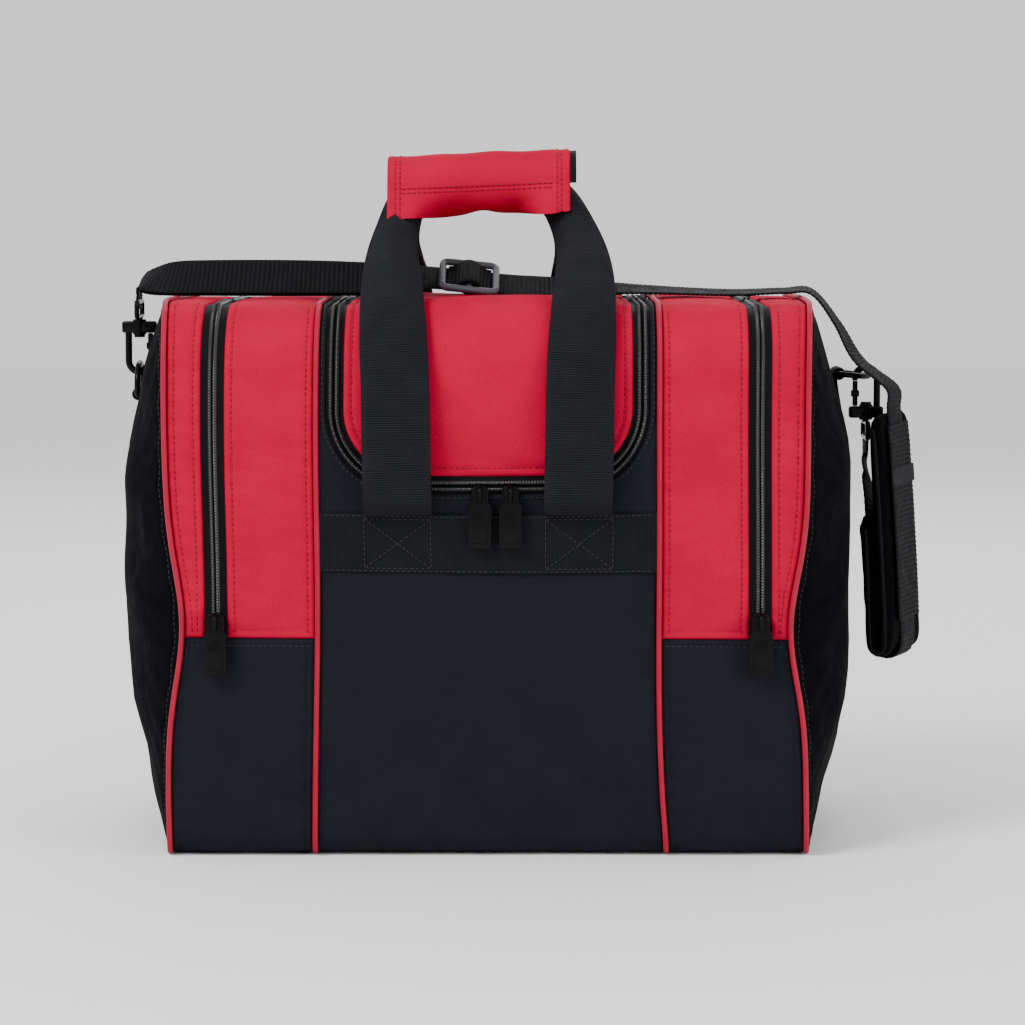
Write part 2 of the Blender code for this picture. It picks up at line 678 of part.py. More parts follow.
def make_tri_glide():
    """A three-bar buckle that lies on the strap: two end bars, a middle bar and two rails."""
    half_x, half_w, thick = 18.0, 17.0, 3.0
    across = Vector(pitched(GLIDE_PITCH))
    along = Vector((1, 0, -GLIDE_SLOPE)).normalized()
    normal = along.cross(across).normalized()
    centre = Vector((GLIDE_X, STRAP_Y, GLIDE_Z)) + normal * (STRAP / 2 + 3 * GAP + thick / 2)

    def block(name, a0, a1, b0, b1):
        rings = []
        for n in (-thick / 2, thick / 2):
            corners = ((a0, b0), (a1, b0), (a1, b1), (a0, b1))
            rings.append([tuple(centre + along * a + across * b + normal * n) for a, b in corners])
        return loft(name, rings, "gray_plastic", tuple(centre))

    body = block("tri_glide", -half_x, half_x, -half_w, half_w)
    for i, (a0, a1) in enumerate(((-half_x + 5, -2.2), (2.2, half_x - 5))):
        slot = block(f"tri_glide_slot_tool_{i}", a0, a1, -13.2, 13.2)
        for vertex in slot.data.vertices:
            away = vertex.co.dot(normal)
            vertex.co += normal * (away * 2)
        combine(body, slot, "DIFFERENCE")


# ---------------------------------------------------------------- rings, hooks and gates

def tube(name, path, radius, finish, origin, closed=False, sides_of_round=8, flat=Vector((0, 1, 0))):
    """A round bar along a path that lies in a plane whose normal is given by flat."""
    rings = []
    last = len(path) - 1
    for i, centre in enumerate(path):
        before = path[i - 1] if (closed or i > 0) else path[i]
        after = path[(i + 1) % len(path)] if closed else path[min(i + 1, last)]
        ahead = (after - before).normalized()
        side = flat.cross(ahead).normalized()
        ring = []
        for k in range(sides_of_round):
            angle = 2 * pi * (k + 0.5) / sides_of_round
            ring.append(tuple(centre + side * (radius * cos(angle)) + flat * (radius * sin(angle))))
        rings.append(ring)
    return loft(name, rings, finish, origin, closed)


def make_ring(side, bar, lift):
    """A D-ring on its bar. lift is the direction that the D points in."""
    half = RING_WIDTH / 2 + RING_WIRE
    centre = Vector(bar)
    lift = Vector(lift).normalized()
    path = [centre + Vector((0, y, 0)) for y in (-half + 2.5, 0, half - 2.5)]
    path += [centre + Vector((0, half, 0)) + lift * 2.5]
    for degrees in (0, 30, 60, 90, 120, 150, 180):
        angle = radians(degrees)
        path.append(centre + Vector((0, half * cos(angle), 0)) + lift * (6 + (RING_HEIGHT - 6) * sin(angle)))
    path += [centre + Vector((0, -half, 0)) + lift * 2.5]
    flat = lift.cross(Vector((0, 1, 0)))
    tube(f"{side}_ring", path, RING_WIRE, "black_metal", bar, closed=True, flat=flat)


def make_tab(side, sign, bar):
    """Webbing sewn to the side panel and turned round the bar of the ring."""
    bar_x, bar_y, bar_z = abs(bar[0]), bar[1], bar[2]
    hole = RING_WIRE + 0.5
    inner, outer = [], []
    start = radians(-120)
    for i in range(9):
        angle = start - radians(300) * i / 8
        inner.append((bar_x + hole * cos(angle), bar_z + hole * sin(angle)))
        outer.append((bar_x + (hole + TAB) * cos(angle), bar_z + (hole + TAB) * sin(angle)))
    outline = inner + outer[::-1]
    back_y, front_y = bar_y - TAB_WIDTH / 2, bar_y + TAB_WIDTH / 2
    face_rings = [[(sign * px, y, pz) for px, pz in outline] for y in (back_y, front_y)]
    loop = loft(f"{side}_ring_tab", face_rings, "webbing")
    foot = side_panel_x(bar_y, bar_z - TAB_FOOT) + 1.2
    middle = side_panel_x(bar_y, bar_z - 10) + 1.2
    top = max(bar_x - hole - TAB / 2 - 0.6, side_panel_x(bar_y, bar_z) + 0.6)
    strip = []
    for z, x in ((bar_z - TAB_FOOT, foot), (bar_z - 10, middle), (bar_z - 1.0, top)):
        near, far = sign * x, sign * (x + TAB)
        strip.append([(near, back_y, z), (near, front_y, z), (far, front_y, z), (far, back_y, z)])
    tool = loft(f"{side}_tab_strip_tool", strip, "webbing")
    combine(loop, tool, "UNION")


def make_hook(side, x, bend_z, up):
    """A snap hook: a bent bar, a body block, a sprung gate and a swivelling eye. up is 1 or -1.

    bend_z is the middle of the bar at the bend, and the hook's body lies in the direction up.
    """
    centre = Vector((x, RING_Y, bend_z))
    rise = Vector((0, 0, up))
    inner_side = -1 if x > 0 else 1
    back = Vector((-inner_side, 0, 0))
    path = [centre + back * HOOK_HALF + rise * HOOK_LENGTH]
    path.append(centre + back * HOOK_HALF + rise * (HOOK_LENGTH - 6))
    for degrees in (0, 30, 60, 90, 120, 150, 180):
        angle = radians(degrees)
        path.append(centre + back * (HOOK_HALF * cos(angle)) + rise * (HOOK_HALF - HOOK_HALF * sin(angle)))
    path.append(centre - back * HOOK_HALF + rise * (HOOK_HALF + 1.5))
    body_z = bend_z + up * HOOK_LENGTH
    swivel = (x, RING_Y, body_z + up * SWIVEL_RISE)
    hook = tube(f"{side}_hook", path, HOOK_WIRE, "black_metal", swivel)
    z0, z1 = sorted(body_z + up * end for end in HOOK_BLOCK)
    half_x, half_y = HOOK_BLOCK_HALF
    rings = box_rings((x - half_x, RING_Y - half_y, z0), (x + half_x, RING_Y + half_y, z1))
    combine(hook, loft(f"{side}_hook_block_tool", rings, "black_metal", swivel), "UNION")
    bore = cylinder_cutter(f"{side}_hook_bore_tool", swivel, 2.4, 20, "Z")
    combine(hook, bore, "DIFFERENCE")
    make_gate(side, centre, back, rise, up)
    make_eye(side, x, body_z, up)


def make_gate(side, centre, back, rise, up):
    """The gate closes the hook's open side, and turns inwards about a pin near the body block."""
    pivot = centre - back * HOOK_HALF + rise * (HOOK_LENGTH - 3.4)
    low = centre - back * HOOK_HALF + rise * (HOOK_HALF + 2.0)
    half_x, half_y = 1.5, 1.9
    z0, z1 = sorted((low.z, pivot.z + up * 1.5))
    rings = box_rings((pivot.x - half_x, RING_Y - half_y, z0), (pivot.x + half_x, RING_Y + half_y, z1))
    loft(f"{side}_gate", rings, "black_metal", tuple(pivot))


def make_eye(side, x, body_z, up):
    """The strap's eye: a long loop across the webbing with a headed stud that swivels in the hook."""
    base = body_z + up * (HOOK_BLOCK[1] + 1.0 + EYE_WIRE)
    half, high = EYE_HALF, EYE_HEIGHT
    right = [(half - 2, 0), (half, 2), (half, high - 2), (half - 2, high)]
    left = [(-y, rise) for y, rise in right[::-1]]
    path = []
    for y, rise in [(0, 0)] + right + [(0, high)] + left:
        path.append(Vector((x, RING_Y + y, base + up * rise)))
    swivel = (x, RING_Y, body_z + up * SWIVEL_RISE)
    flat = Vector((1, 0, 0))
    eye = tube(f"{side}_swivel_eye", path, EYE_WIRE, "black_metal", swivel, closed=True, flat=flat)
    stud_low, stud_high = body_z - up * 3.6, base
    stud_middle = (x, RING_Y, (stud_low + stud_high) / 2)
    stud = cylinder_cutter(f"{side}_stud_tool", stud_middle, 1.9, abs(stud_high - stud_low), "Z")
    combine(eye, stud, "UNION")
    head = cylinder_cutter(f"{side}_stud_head_tool", (x, RING_Y, body_z - up * 2.4), 3.3, 2.4, "Z")
    combine(eye, head, "UNION")


def make_hardware():
    make_ring("left", LEFT_RING, (0, 0, 1))
    make_ring("right", RIGHT_RING, (1, 0, -0.1))
    make_tab("left", -1, LEFT_RING)
    make_tab("right", 1, RIGHT_RING)
    clearance = HOOK_WIRE + RING_WIRE + 1.6
    make_hook("left", LEFT_RING[0], LEFT_RING[2] + RING_HEIGHT - clearance, 1)
    make_hook("right", RIGHT_HOOK_X, RIGHT_RING[2] - 1.8 + clearance, -1)


# ---------------------------------------------------------------- inside

def make_inside():
    for side, sign in sides():
        x0, x1 = sorted((sign * DIVIDER_X, sign * (DIVIDER_X + DIVIDER)))
        low = (x0, -DIVIDER_HALF_DEPTH, SKIN + 2 * GAP + BOARD)
        high = (x1, DIVIDER_HALF_DEPTH, DIVIDER_TOP_Z)
        loft(f"{side}_divider", box_rings(low, high), "liner_board")
    rings = []
    around = 20
    for i in range(around):
        angle = 2 * pi * i / around
        ring = []
        for radius, z in BALL_RING:
            ring.append((radius * cos(angle), radius * sin(angle), z))
        rings.append(ring)
    loft("ball_ring", rings, "pad_foam", closed=True)


def build():
    clear_scene()
    make_shell()
    make_pipings()
    make_side_panels()
    make_lid()
    make_sliders()
    make_handles()
    make_hardware()
    make_pad()
    make_strap()
    make_tri_glide()
    make_inside()


build()
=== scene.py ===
"""Looks of the bowling ball bag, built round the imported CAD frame.

The builders work in millimetres in the frame's own axes: the front faces -Y and the floor is at Z = 0.
"""

from math import sin, cos, pi, radians, exp

import bmesh
import bpy
import numpy as np
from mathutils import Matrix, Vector


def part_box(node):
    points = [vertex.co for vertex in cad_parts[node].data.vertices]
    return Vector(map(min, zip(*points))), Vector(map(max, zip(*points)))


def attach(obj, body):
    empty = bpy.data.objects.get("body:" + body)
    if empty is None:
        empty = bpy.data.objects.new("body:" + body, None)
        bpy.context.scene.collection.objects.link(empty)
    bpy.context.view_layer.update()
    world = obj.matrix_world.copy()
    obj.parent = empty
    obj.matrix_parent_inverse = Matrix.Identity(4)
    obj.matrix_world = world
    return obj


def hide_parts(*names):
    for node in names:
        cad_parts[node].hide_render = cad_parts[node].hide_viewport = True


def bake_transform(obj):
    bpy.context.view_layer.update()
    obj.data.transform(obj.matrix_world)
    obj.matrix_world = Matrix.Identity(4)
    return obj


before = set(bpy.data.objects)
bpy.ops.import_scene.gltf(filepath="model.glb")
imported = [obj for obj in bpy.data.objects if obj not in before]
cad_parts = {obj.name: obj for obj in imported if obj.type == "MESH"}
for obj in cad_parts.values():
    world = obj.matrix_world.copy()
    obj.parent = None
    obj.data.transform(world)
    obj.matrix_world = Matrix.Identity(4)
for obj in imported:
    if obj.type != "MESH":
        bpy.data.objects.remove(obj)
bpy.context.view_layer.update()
MM = 0.001


def corner(node, end):
    """A node's lowest (0) or highest (1) corner, in millimetres."""
    return Vector(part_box(node)[end]) / MM


# ---- sizes read from the frame ----
HEIGHT = corner("lid_top_panel", 1).z
HALF = corner("back_centre_panel", 1).y          # half the depth of the shell
LID_X = corner("lid_top_panel", 1).x
LID_BOTTOM = corner("lid_front_panel", 0).z
BAND_LOW = corner("front_handle_band", 0).z
BAND_HIGH = corner("front_handle_band", 1).z
POCKET_SEAM = corner("left_inner_pocket_strip", 0).z

# ---- shell ----
TOP_RADIUS = 34.0
BOTTOM_RADIUS = 14.0
EDGE_X = 178.0               # outer seam
SEAM_X = 95.0                # seam between the ball compartment and a pocket
BULGE_X = 213.0              # widest point of the side panels
TOP_BOW = 5.0                # the outer seam bows out along the top and the base
PIPING = 1.6                 # radius of the piping
ZIP_X = 151.5
ZIP_HALF = 6.3
ZIP_THICK = 2.6
MAIN_SLIDER_Z = 204.0
POCKET_SLIDER_Z = 133.0
LID_CORNER = 36.0
LID_TAPE = 5.0
CLOTH = 3.0                  # thickness of a padded panel

CAMERA_DISTANCE = 1896.0
CAMERA_RISE = radians(5.0)


# ================================================================ camera, floor and light

def make_camera():
    data = bpy.data.cameras.new("camera")
    data.sensor_width = 36
    data.lens = 120
    camera = bpy.data.objects.new("camera", data)
    bpy.context.collection.objects.link(camera)
    target = Vector((13.6, -HALF, 193.0))
    away = Vector((0, -cos(CAMERA_RISE), sin(CAMERA_RISE)))
    camera.location = (target + away * CAMERA_DISTANCE) * MM
    camera.rotation_euler = (pi / 2 - CAMERA_RISE, 0, 0)
    bpy.context.scene.camera = camera


def area_light(name, place, aim, size, power):
    data = bpy.data.lights.new(name, "AREA")
    data.shape = "RECTANGLE"
    data.size, data.size_y = size
    data.energy = power
    light = bpy.data.objects.new(name, data)
    bpy.context.collection.objects.link(light)
    light.location = place
    light.rotation_euler = (Vector(aim) - Vector(place)).to_track_quat("-Z", "Y").to_euler()


def make_studio():
    world = bpy.data.worlds.new("studio")
    world.use_nodes = True
    sky = world.node_tree.nodes["Background"]
    sky.inputs["Color"].default_value = (1, 1, 1, 1)
    sky.inputs["Strength"].default_value = 1.05
    bpy.context.scene.world = world
    area_light("key", (-1.3, -1.3, 1.8), (0, 0, 0.2), (0.9, 0.9), 52)
    area_light("fill", (1.7, -1.2, 0.8), (0, 0, 0.2), (0.8, 1.3), 16)
    area_light("back", (0.2, 1.8, 1.6), (0, 0, 0.2), (1.8, 1.0), 16)
    mesh = bpy.data.meshes.new("floor")
    reach = 6.0
    mesh.from_pydata([(-reach, -reach, 0), (reach, -reach, 0), (reach, reach, 0), (-reach, reach, 0)],
                     [], [(0, 1, 2, 3)])
    floor = bpy.data.objects.new("floor", mesh)
    floor.location.z = -0.0004
    bpy.context.collection.objects.link(floor)
    paper = bpy.data.materials.new("paper")
    paper.use_nodes = True
    shader = paper.node_tree.nodes["Principled BSDF"]
    shader.inputs["Base Color"].default_value = (0.9, 0.9, 0.9, 1)
    shader.inputs["Roughness"].default_value = 0.9
    mesh.materials.append(paper)


# ================================================================ materials

class Nodes:
    """A small helper that adds and links nodes in one material."""

    def __init__(self, name, space="cloth"):
        self.material = bpy.data.materials.new(name)
        self.material.use_nodes = True
        self.tree = self.material.node_tree
        self.shader = self.tree.nodes["Principled BSDF"]
        if space == "cloth":
            source = self.add("ShaderNodeAttribute", attribute_name="cloth")
            self.place = source.outputs["Vector"]
        else:
            source = self.add("ShaderNodeTexCoord")
            scale = self.add("ShaderNodeVectorMath", operation="SCALE")
            self.link(source.outputs["Object"], scale.inputs[0])
            scale.inputs["Scale"].default_value = 1 / MM
            self.place = scale.outputs[0]
        split = self.add("ShaderNodeSeparateXYZ")
        self.link(self.place, split.inputs[0])
        self.x, self.y, self.z = split.outputs

    def add(self, kind, **values):
        node = self.tree.nodes.new(kind)
        for key, value in values.items():
            setattr(node, key, value)
        return node

    def link(self, source, target):
        self.tree.links.new(source, target)

    def math(self, operation, a, b=None):
        node = self.add("ShaderNodeMath", operation=operation)
        for socket, value in zip(node.inputs, (a, b)):
            if value is None:
                continue
            if isinstance(value, (int, float)):
                socket.default_value = value
            else:
                self.link(value, socket)
        return node.outputs[0]

    def wave(self, source, pitch):
        """From -1 to 1 along a coordinate in millimetres."""
        return self.math("SINE", self.math("MULTIPLY", source, 2 * pi / pitch))

    def noise(self, length, detail=2.0):
        node = self.add("ShaderNodeTexNoise")
        node.inputs["Scale"].default_value = 1 / length
        node.inputs["Detail"].default_value = detail
        self.link(self.place, node.inputs["Vector"])
        return node.outputs["Fac"]

    def ramp(self, factor, stops):
        node = self.add("ShaderNodeValToRGB")
        band = node.color_ramp
        while len(band.elements) < len(stops):
            band.elements.new(0.5)
        for element, (place, value) in zip(band.elements, stops):
            element.position = place
            element.color = (value, value, value, 1)
        self.link(factor, node.inputs["Fac"])
        return node.outputs["Color"]

    def mix(self, factor, a, b):
        node = self.add("ShaderNodeMix", data_type="RGBA")
        for socket, value in ((node.inputs[0], factor), (node.inputs[6], a), (node.inputs[7], b)):
            if isinstance(value, tuple):
                socket.default_value = (*value, 1)
            elif isinstance(value, (int, float)):
                socket.default_value = value
            else:
                self.link(value, socket)
        return node.outputs[2]

    def set(self, **values):
        """Constant values go straight on the shader's own sockets: sheen_weight is Sheen Weight."""
        for name, value in values.items():
            socket = name.replace("_", " ").title().replace("Ior", "IOR")
            self.shader.inputs[socket].default_value = value

    def colour(self, value):
        self.link(value, self.shader.inputs["Base Color"])

    def roughness(self, low, high, length):
        self.link(self.ramp(self.noise(length), ((0.3, low), (0.7, high))), self.shader.inputs["Roughness"])

    def bump(self, height, depth, normal=None):
        node = self.add("ShaderNodeBump")
        node.inputs["Distance"].default_value = depth * MM
        node.inputs["Strength"].default_value = 1.0
        self.link(height, node.inputs["Height"])
        if normal is not None:
            self.link(normal, node.inputs["Normal"])
        self.link(node.outputs["Normal"], self.shader.inputs["Normal"])
        return node.outputs["Normal"]


def darker(colour, share):
    return tuple(c * share for c in colour)


def woven(name, colour, pitch=0.7, depth=0.05, sheen=0.03, rough=(0.7, 0.86), mottle=0.86, space="cloth",
          shine=0.05):
    """Plain-woven polyester: crossing threads, slight unevenness of dye, painted shade in the hollows between the
    threads and a soft sheen.
    """
    n = Nodes(name, space)
    across = n.x if space == "cloth" else n.math("ADD", n.x, n.y)
    along = n.y if space == "cloth" else n.z
    threads = n.math("MULTIPLY", n.wave(across, pitch * 2), n.wave(along, pitch * 2))
    height = n.math("ADD", n.math("MULTIPLY", threads, 0.5), 0.5)
    broad = n.noise(38.0, 3.0)
    slub = n.noise(2.2, 2.0)
    tint = n.mix(n.ramp(broad, ((0.35, 0.0), (0.68, 1.0))), darker(colour, mottle), colour)
    tint = n.mix(n.ramp(slub, ((0.3, 0.0), (0.8, 0.16))), tint, darker(colour, 1.35))
    # painted shade: the hollows between the threads are darkened
    tint = n.mix(n.ramp(height, ((0.0, 0.22), (0.6, 0.0))), tint, darker(colour, 0.45))
    n.colour(tint)
    n.roughness(*rough, 9.0)
    crease = n.bump(n.noise(16.0, 4.0), 0.7)
    n.bump(height, depth, crease)
    n.set(sheen_weight=sheen, sheen_roughness=0.45, sheen_tint=(*(c ** 0.5 for c in colour), 1),
          specular_ior_level=shine)
    return n.material


def ribbed(name, colour, pitch, depth=0.12, groove_shade=0.35, sheen=0.05):
    """Webbing: ribs across its width, with fine twisted threads along them, and painted shade in the grooves
    between the ribs.
    """
    n = Nodes(name)
    rib = n.math("ADD", n.math("MULTIPLY", n.wave(n.y, pitch), 0.5), 0.5)
    twist = n.wave(n.math("ADD", n.x, n.math("MULTIPLY", n.y, 0.6)), 0.9)
    height = n.math("ADD", rib, n.math("MULTIPLY", twist, 0.18))
    # painted shade: the grooves between the ribs are darkened
    tint = n.mix(n.ramp(rib, ((0.0, 1.0), (0.55, 0.0))), colour, darker(colour, groove_shade))
    tint = n.mix(n.ramp(n.noise(14.0, 3.0), ((0.35, 0.0), (0.75, 0.35))), tint, darker(colour, 1.5))
    n.colour(tint)
    n.roughness(0.6, 0.78, 7.0)
    n.bump(height, depth)
    n.set(sheen_weight=sheen, sheen_roughness=0.4, sheen_tint=(*(c ** 0.5 for c in colour), 1),
          specular_ior_level=0.07)
    return n.material


def corded(name, colour):
    """Binding wound on the slant round a cord."""
    n = Nodes(name)
    slant = n.wave(n.math("ADD", n.y, n.math("MULTIPLY", n.x, 0.8)), 1.3)
    tint = n.mix(n.ramp(n.noise(24.0, 3.0), ((0.3, 0.0), (0.7, 1.0))), darker(colour, 0.82), colour)
    n.colour(tint)
    n.roughness(0.5, 0.66, 8.0)
    n.bump(n.math("ADD", n.math("MULTIPLY", slant, 0.5), 0.5), 0.06)
    n.set(specular_ior_level=0.25)
    return n.material


def lacquered(name, colour):
    """Black lacquer over metal, slightly orange-peeled and rubbed at random."""
    n = Nodes(name, "object")
    worn = n.ramp(n.noise(3.5, 4.0), ((0.62, 0.0), (0.78, 0.4)))
    n.colour(n.mix(worn, colour, darker(colour, 4.0)))
    n.roughness(0.16, 0.3, 2.5)
    n.bump(n.noise(1.6, 2.0), 0.01)
    n.set(specular_ior_level=0.06, coat_weight=0.07, coat_roughness=0.1)
    return n.material


def moulded(name, colour):
    """Satin injection-moulded plastic with a fine spark texture and scuffs."""
    n = Nodes(name, "object")
    scuff = n.ramp(n.noise(5.0, 5.0), ((0.58, 0.0), (0.72, 0.4)))
    n.colour(n.mix(scuff, colour, darker(colour, 1.5)))
    n.roughness(0.34, 0.52, 3.0)
    n.bump(n.noise(0.5, 2.0), 0.03)
    return n.material


def make_materials():
    return {
        "red": woven("red_polyester", (0.43, 0.0004, 0.030), sheen=0.0, mottle=0.88, shine=0.03),
        "black": woven("black_nylon", (0.0092, 0.0098, 0.0142), mottle=0.84),
        # painted shade: the side panels take a darker copy of the black nylon, as they stand side-on to the light
        "side": woven("black_nylon_shaded_side", (0.0016, 0.0017, 0.0028), mottle=0.8, sheen=0.0, shine=0.02),
        "webbing": ribbed("handle_webbing", (0.0105, 0.011, 0.0135), 1.3, 0.09),
        "band": ribbed("band_webbing", (0.0062, 0.0068, 0.0088), 1.5, 0.08),
        "strap": ribbed("strap_webbing", (0.0056, 0.0058, 0.0076), 2.75, 0.16, 0.22, sheen=0.02),
        "tape": ribbed("zip_tape_weave", (0.0034, 0.0035, 0.0045), 0.9, 0.04, 0.6),
        "coil": moulded("zip_coil", (0.005, 0.005, 0.0064)),
        "piping": corded("red_binding", (0.36, 0.0008, 0.026)),
        "metal": lacquered("black_lacquer", (0.0020, 0.0020, 0.0023)),
        "plastic": moulded("gray_acetal", (0.055, 0.055, 0.068)),
        "pad": woven("pad_cover", (0.0014, 0.0014, 0.0022), pitch=1.0, depth=0.09, space="object", sheen=0.0,
                     shine=0.02),
        "liner": woven("board_liner", (0.010, 0.010, 0.012), pitch=0.8, space="object"),
        "red_thread": corded("red_thread", (0.24, 0.0008, 0.02)),
        "black_thread": corded("black_thread", (0.016, 0.0165, 0.019)),
    }


# ================================================================ mesh builders

def place_mesh(name, points, faces, finish, cloth=None, sharp=40):
    """A closed smooth-shaded mesh from points in millimetres, turned right side out."""
    mesh = bpy.data.meshes.new(name)
    mesh.from_pydata((np.asarray(points) * MM).tolist(), [], [list(map(int, f)) for f in faces])
    if cloth is not None:
        weave = mesh.attributes.new("cloth", "FLOAT_VECTOR", "POINT")
        weave.data.foreach_set("vector", np.asarray(cloth, np.float32).ravel())
    work = bmesh.new()
    work.from_mesh(mesh)
    bmesh.ops.recalc_face_normals(work, faces=work.faces)
    if work.calc_volume(signed=True) < 0:
        bmesh.ops.reverse_faces(work, faces=work.faces)
    work.to_mesh(mesh)
    work.free()
    mesh.shade_smooth()
    mesh.set_sharp_from_angle(angle=radians(sharp))
    mesh.materials.append(LOOKS[finish])
    obj = bpy.data.objects.new(name, mesh)
    bpy.context.collection.objects.link(obj)
    return obj


def grid_solid(name, outer, inner, across, along, finish, ring=False, capped=False, lined=False, **options):
    """Join two equal grids of points into a solid. A ring's columns close on themselves.

    across and along are the cloth's own coordinates. A capped grid narrows to a point in its last row.
    """
    rows, cols = outer.shape[:2]
    count = rows * cols
    index = np.arange(count).reshape(rows, cols)
    if ring:
        index = np.concatenate([index, index[:, :1]], axis=1)
    quads = np.stack([index[:-1, :-1], index[:-1, 1:], index[1:, 1:], index[1:, :-1]], -1).reshape(-1, 4)
    faces = [quads, quads[:, ::-1] + count]
    borders = [index[0]]
    if not capped:
        borders.append(index[-1][::-1])
    if not ring:
        borders += [index[:, -1], index[::-1, 0]]
    for line in borders:
        a, b = line[:-1], line[1:]
        faces.append(np.stack([b, a, a + count, b + count], -1))
    points = np.concatenate([outer.reshape(-1, 3), inner.reshape(-1, 3)])
    weave = np.stack([np.broadcast_to(across, (rows, cols)), np.broadcast_to(along, (rows, cols)),
                      np.zeros((rows, cols))], -1).reshape(-1, 3)
    obj = place_mesh(name, points, np.concatenate(faces), finish, np.concatenate([weave, weave]), **options)
    if lined:
        obj.data.materials.append(LOOKS["liner"])
        marks = np.zeros(len(obj.data.polygons), np.int32)
        marks[len(quads):2 * len(quads)] = 1
        obj.data.polygons.foreach_set("material_index", marks)
    if capped:
        close_tips(obj)
    return obj


def close_tips(obj):
    """Merge the points of a row that has shrunk to nothing."""
    work = bmesh.new()
    work.from_mesh(obj.data)
    bmesh.ops.remove_doubles(work, verts=work.verts, dist=1e-6)
    work.to_mesh(obj.data)
    work.free()


def ring_faces(rows, around, closed=False):
    """Quads between neighbouring rings of points, with flat ends unless the loft closes on itself."""
    faces = []
    for i in range(rows if closed else rows - 1):
        j = (i + 1) % rows
        for k in range(around):
            m = (k + 1) % around
            faces.append((i * around + k, i * around + m, j * around + m, j * around + k))
    if not closed:
        faces.append(list(range(around)))
        faces.append([(rows - 1) * around + k for k in range(around)])
    return faces


def tube_mesh(path, radius, around=12, closed=False, flat=None):
    """Points, faces and cloth coordinates of a round bar along a path of vectors."""
    path = np.asarray(path, float)
    before = np.roll(path, 1, 0)
    after = np.roll(path, -1, 0)
    if not closed:
        before[0], after[-1] = path[0], path[-1]
    ahead = after - before
    ahead /= np.linalg.norm(ahead, axis=1, keepdims=True)
    flat = np.array(flat if flat is not None else (0, 1, 0), float)
    side = np.cross(flat, ahead)
    side /= np.linalg.norm(side, axis=1, keepdims=True)
    up = np.cross(ahead, side)
    radii = np.broadcast_to(radius, (len(path),))
    angles = 2 * pi * np.arange(around) / around
    points = (path[:, None] + radii[:, None, None] * (
        side[:, None] * np.cos(angles)[None, :, None] + up[:, None] * np.sin(angles)[None, :, None]))
    steps = np.concatenate([[0], np.cumsum(np.linalg.norm(np.diff(path, axis=0), axis=1))])
    cloth = np.stack(np.broadcast_arrays(angles[None] * radii[:, None], steps[:, None], 0.0), -1)
    return points.reshape(-1, 3), ring_faces(len(path), around, closed), cloth.reshape(-1, 3)


def catmull(values, per):
    """A smooth line through rows of values, with a number of steps between neighbours."""
    v = np.asarray(values, float)
    v = np.concatenate([2 * v[:1] - v[1:2], v, 2 * v[-1:] - v[-2:-1]])
    t = np.linspace(0, 1, per, endpoint=False)[:, None]
    parts = []
    for a, b, c, d in zip(v, v[1:], v[2:], v[3:]):
        parts.append(0.5 * (2 * b + (c - a) * t + (2 * a - 5 * b + 4 * c - d) * t ** 2
                            + (3 * b - a - 3 * c + d) * t ** 3))
    parts.append(v[-2:-1])
    return np.concatenate(parts)


def even(values, step):
    """Resample rows, whose first three columns are a place, at equal distances."""
    gaps = np.linalg.norm(np.diff(values[:, :3], axis=0), axis=1)
    run = np.concatenate([[0], np.cumsum(gaps)])
    count = max(int(run[-1] / step), 2)
    marks = np.linspace(0, run[-1], count + 1)
    columns = [np.interp(marks, run, values[:, k]) for k in range(values.shape[1])]
    return np.stack(columns, 1), marks


def ripple(points, length, seed):
    """Smooth waves of about the given length through space, from -1 to 1."""
    rng = np.random.default_rng(seed)
    total = np.zeros(points.shape[:-1])
    for _ in range(6):
        direction = rng.normal(size=3)
        direction *= 2 * pi / (np.linalg.norm(direction) * length * rng.uniform(0.7, 1.4))
        total += np.sin(points @ direction + rng.uniform(0, 2 * pi))
    return total / 3.0


def soften(points):
    """The slack of the whole shell: every piece of it moves by the same slow waves, and not at the floor."""
    keep = np.clip(points[..., 2:3] / 30.0, 0, 1)
    shift = np.stack([ripple(points, 170, seed) for seed in (11, 12, 13)], -1) * (0.9, 1.6, 1.0)
    return points + shift * keep


def mount(piece, body, slot, *nodes):
    """The piece moves with a body and stands for the CAD nodes, which are hidden. The slot is not used."""
    if nodes:
        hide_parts(*nodes)
    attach(piece, body)
    return piece


# ================================================================ the shell's profile

FRONT_RUN = HEIGHT - TOP_RADIUS - BOTTOM_RADIUS
TOP_ARC = TOP_RADIUS * pi / 2
TOP_RUN = 2 * HALF - 2 * TOP_RADIUS
BASE_ARC = BOTTOM_RADIUS * pi / 2
BASE_RUN = 2 * HALF - 2 * BOTTOM_RADIUS
S_FOLD = FRONT_RUN
S_TOP = S_FOLD + TOP_ARC
S_REAR = S_TOP + TOP_RUN
S_BACK = S_REAR + TOP_ARC
S_BASE = S_BACK + FRONT_RUN
S_LOOP = S_BASE + 2 * BASE_ARC + BASE_RUN


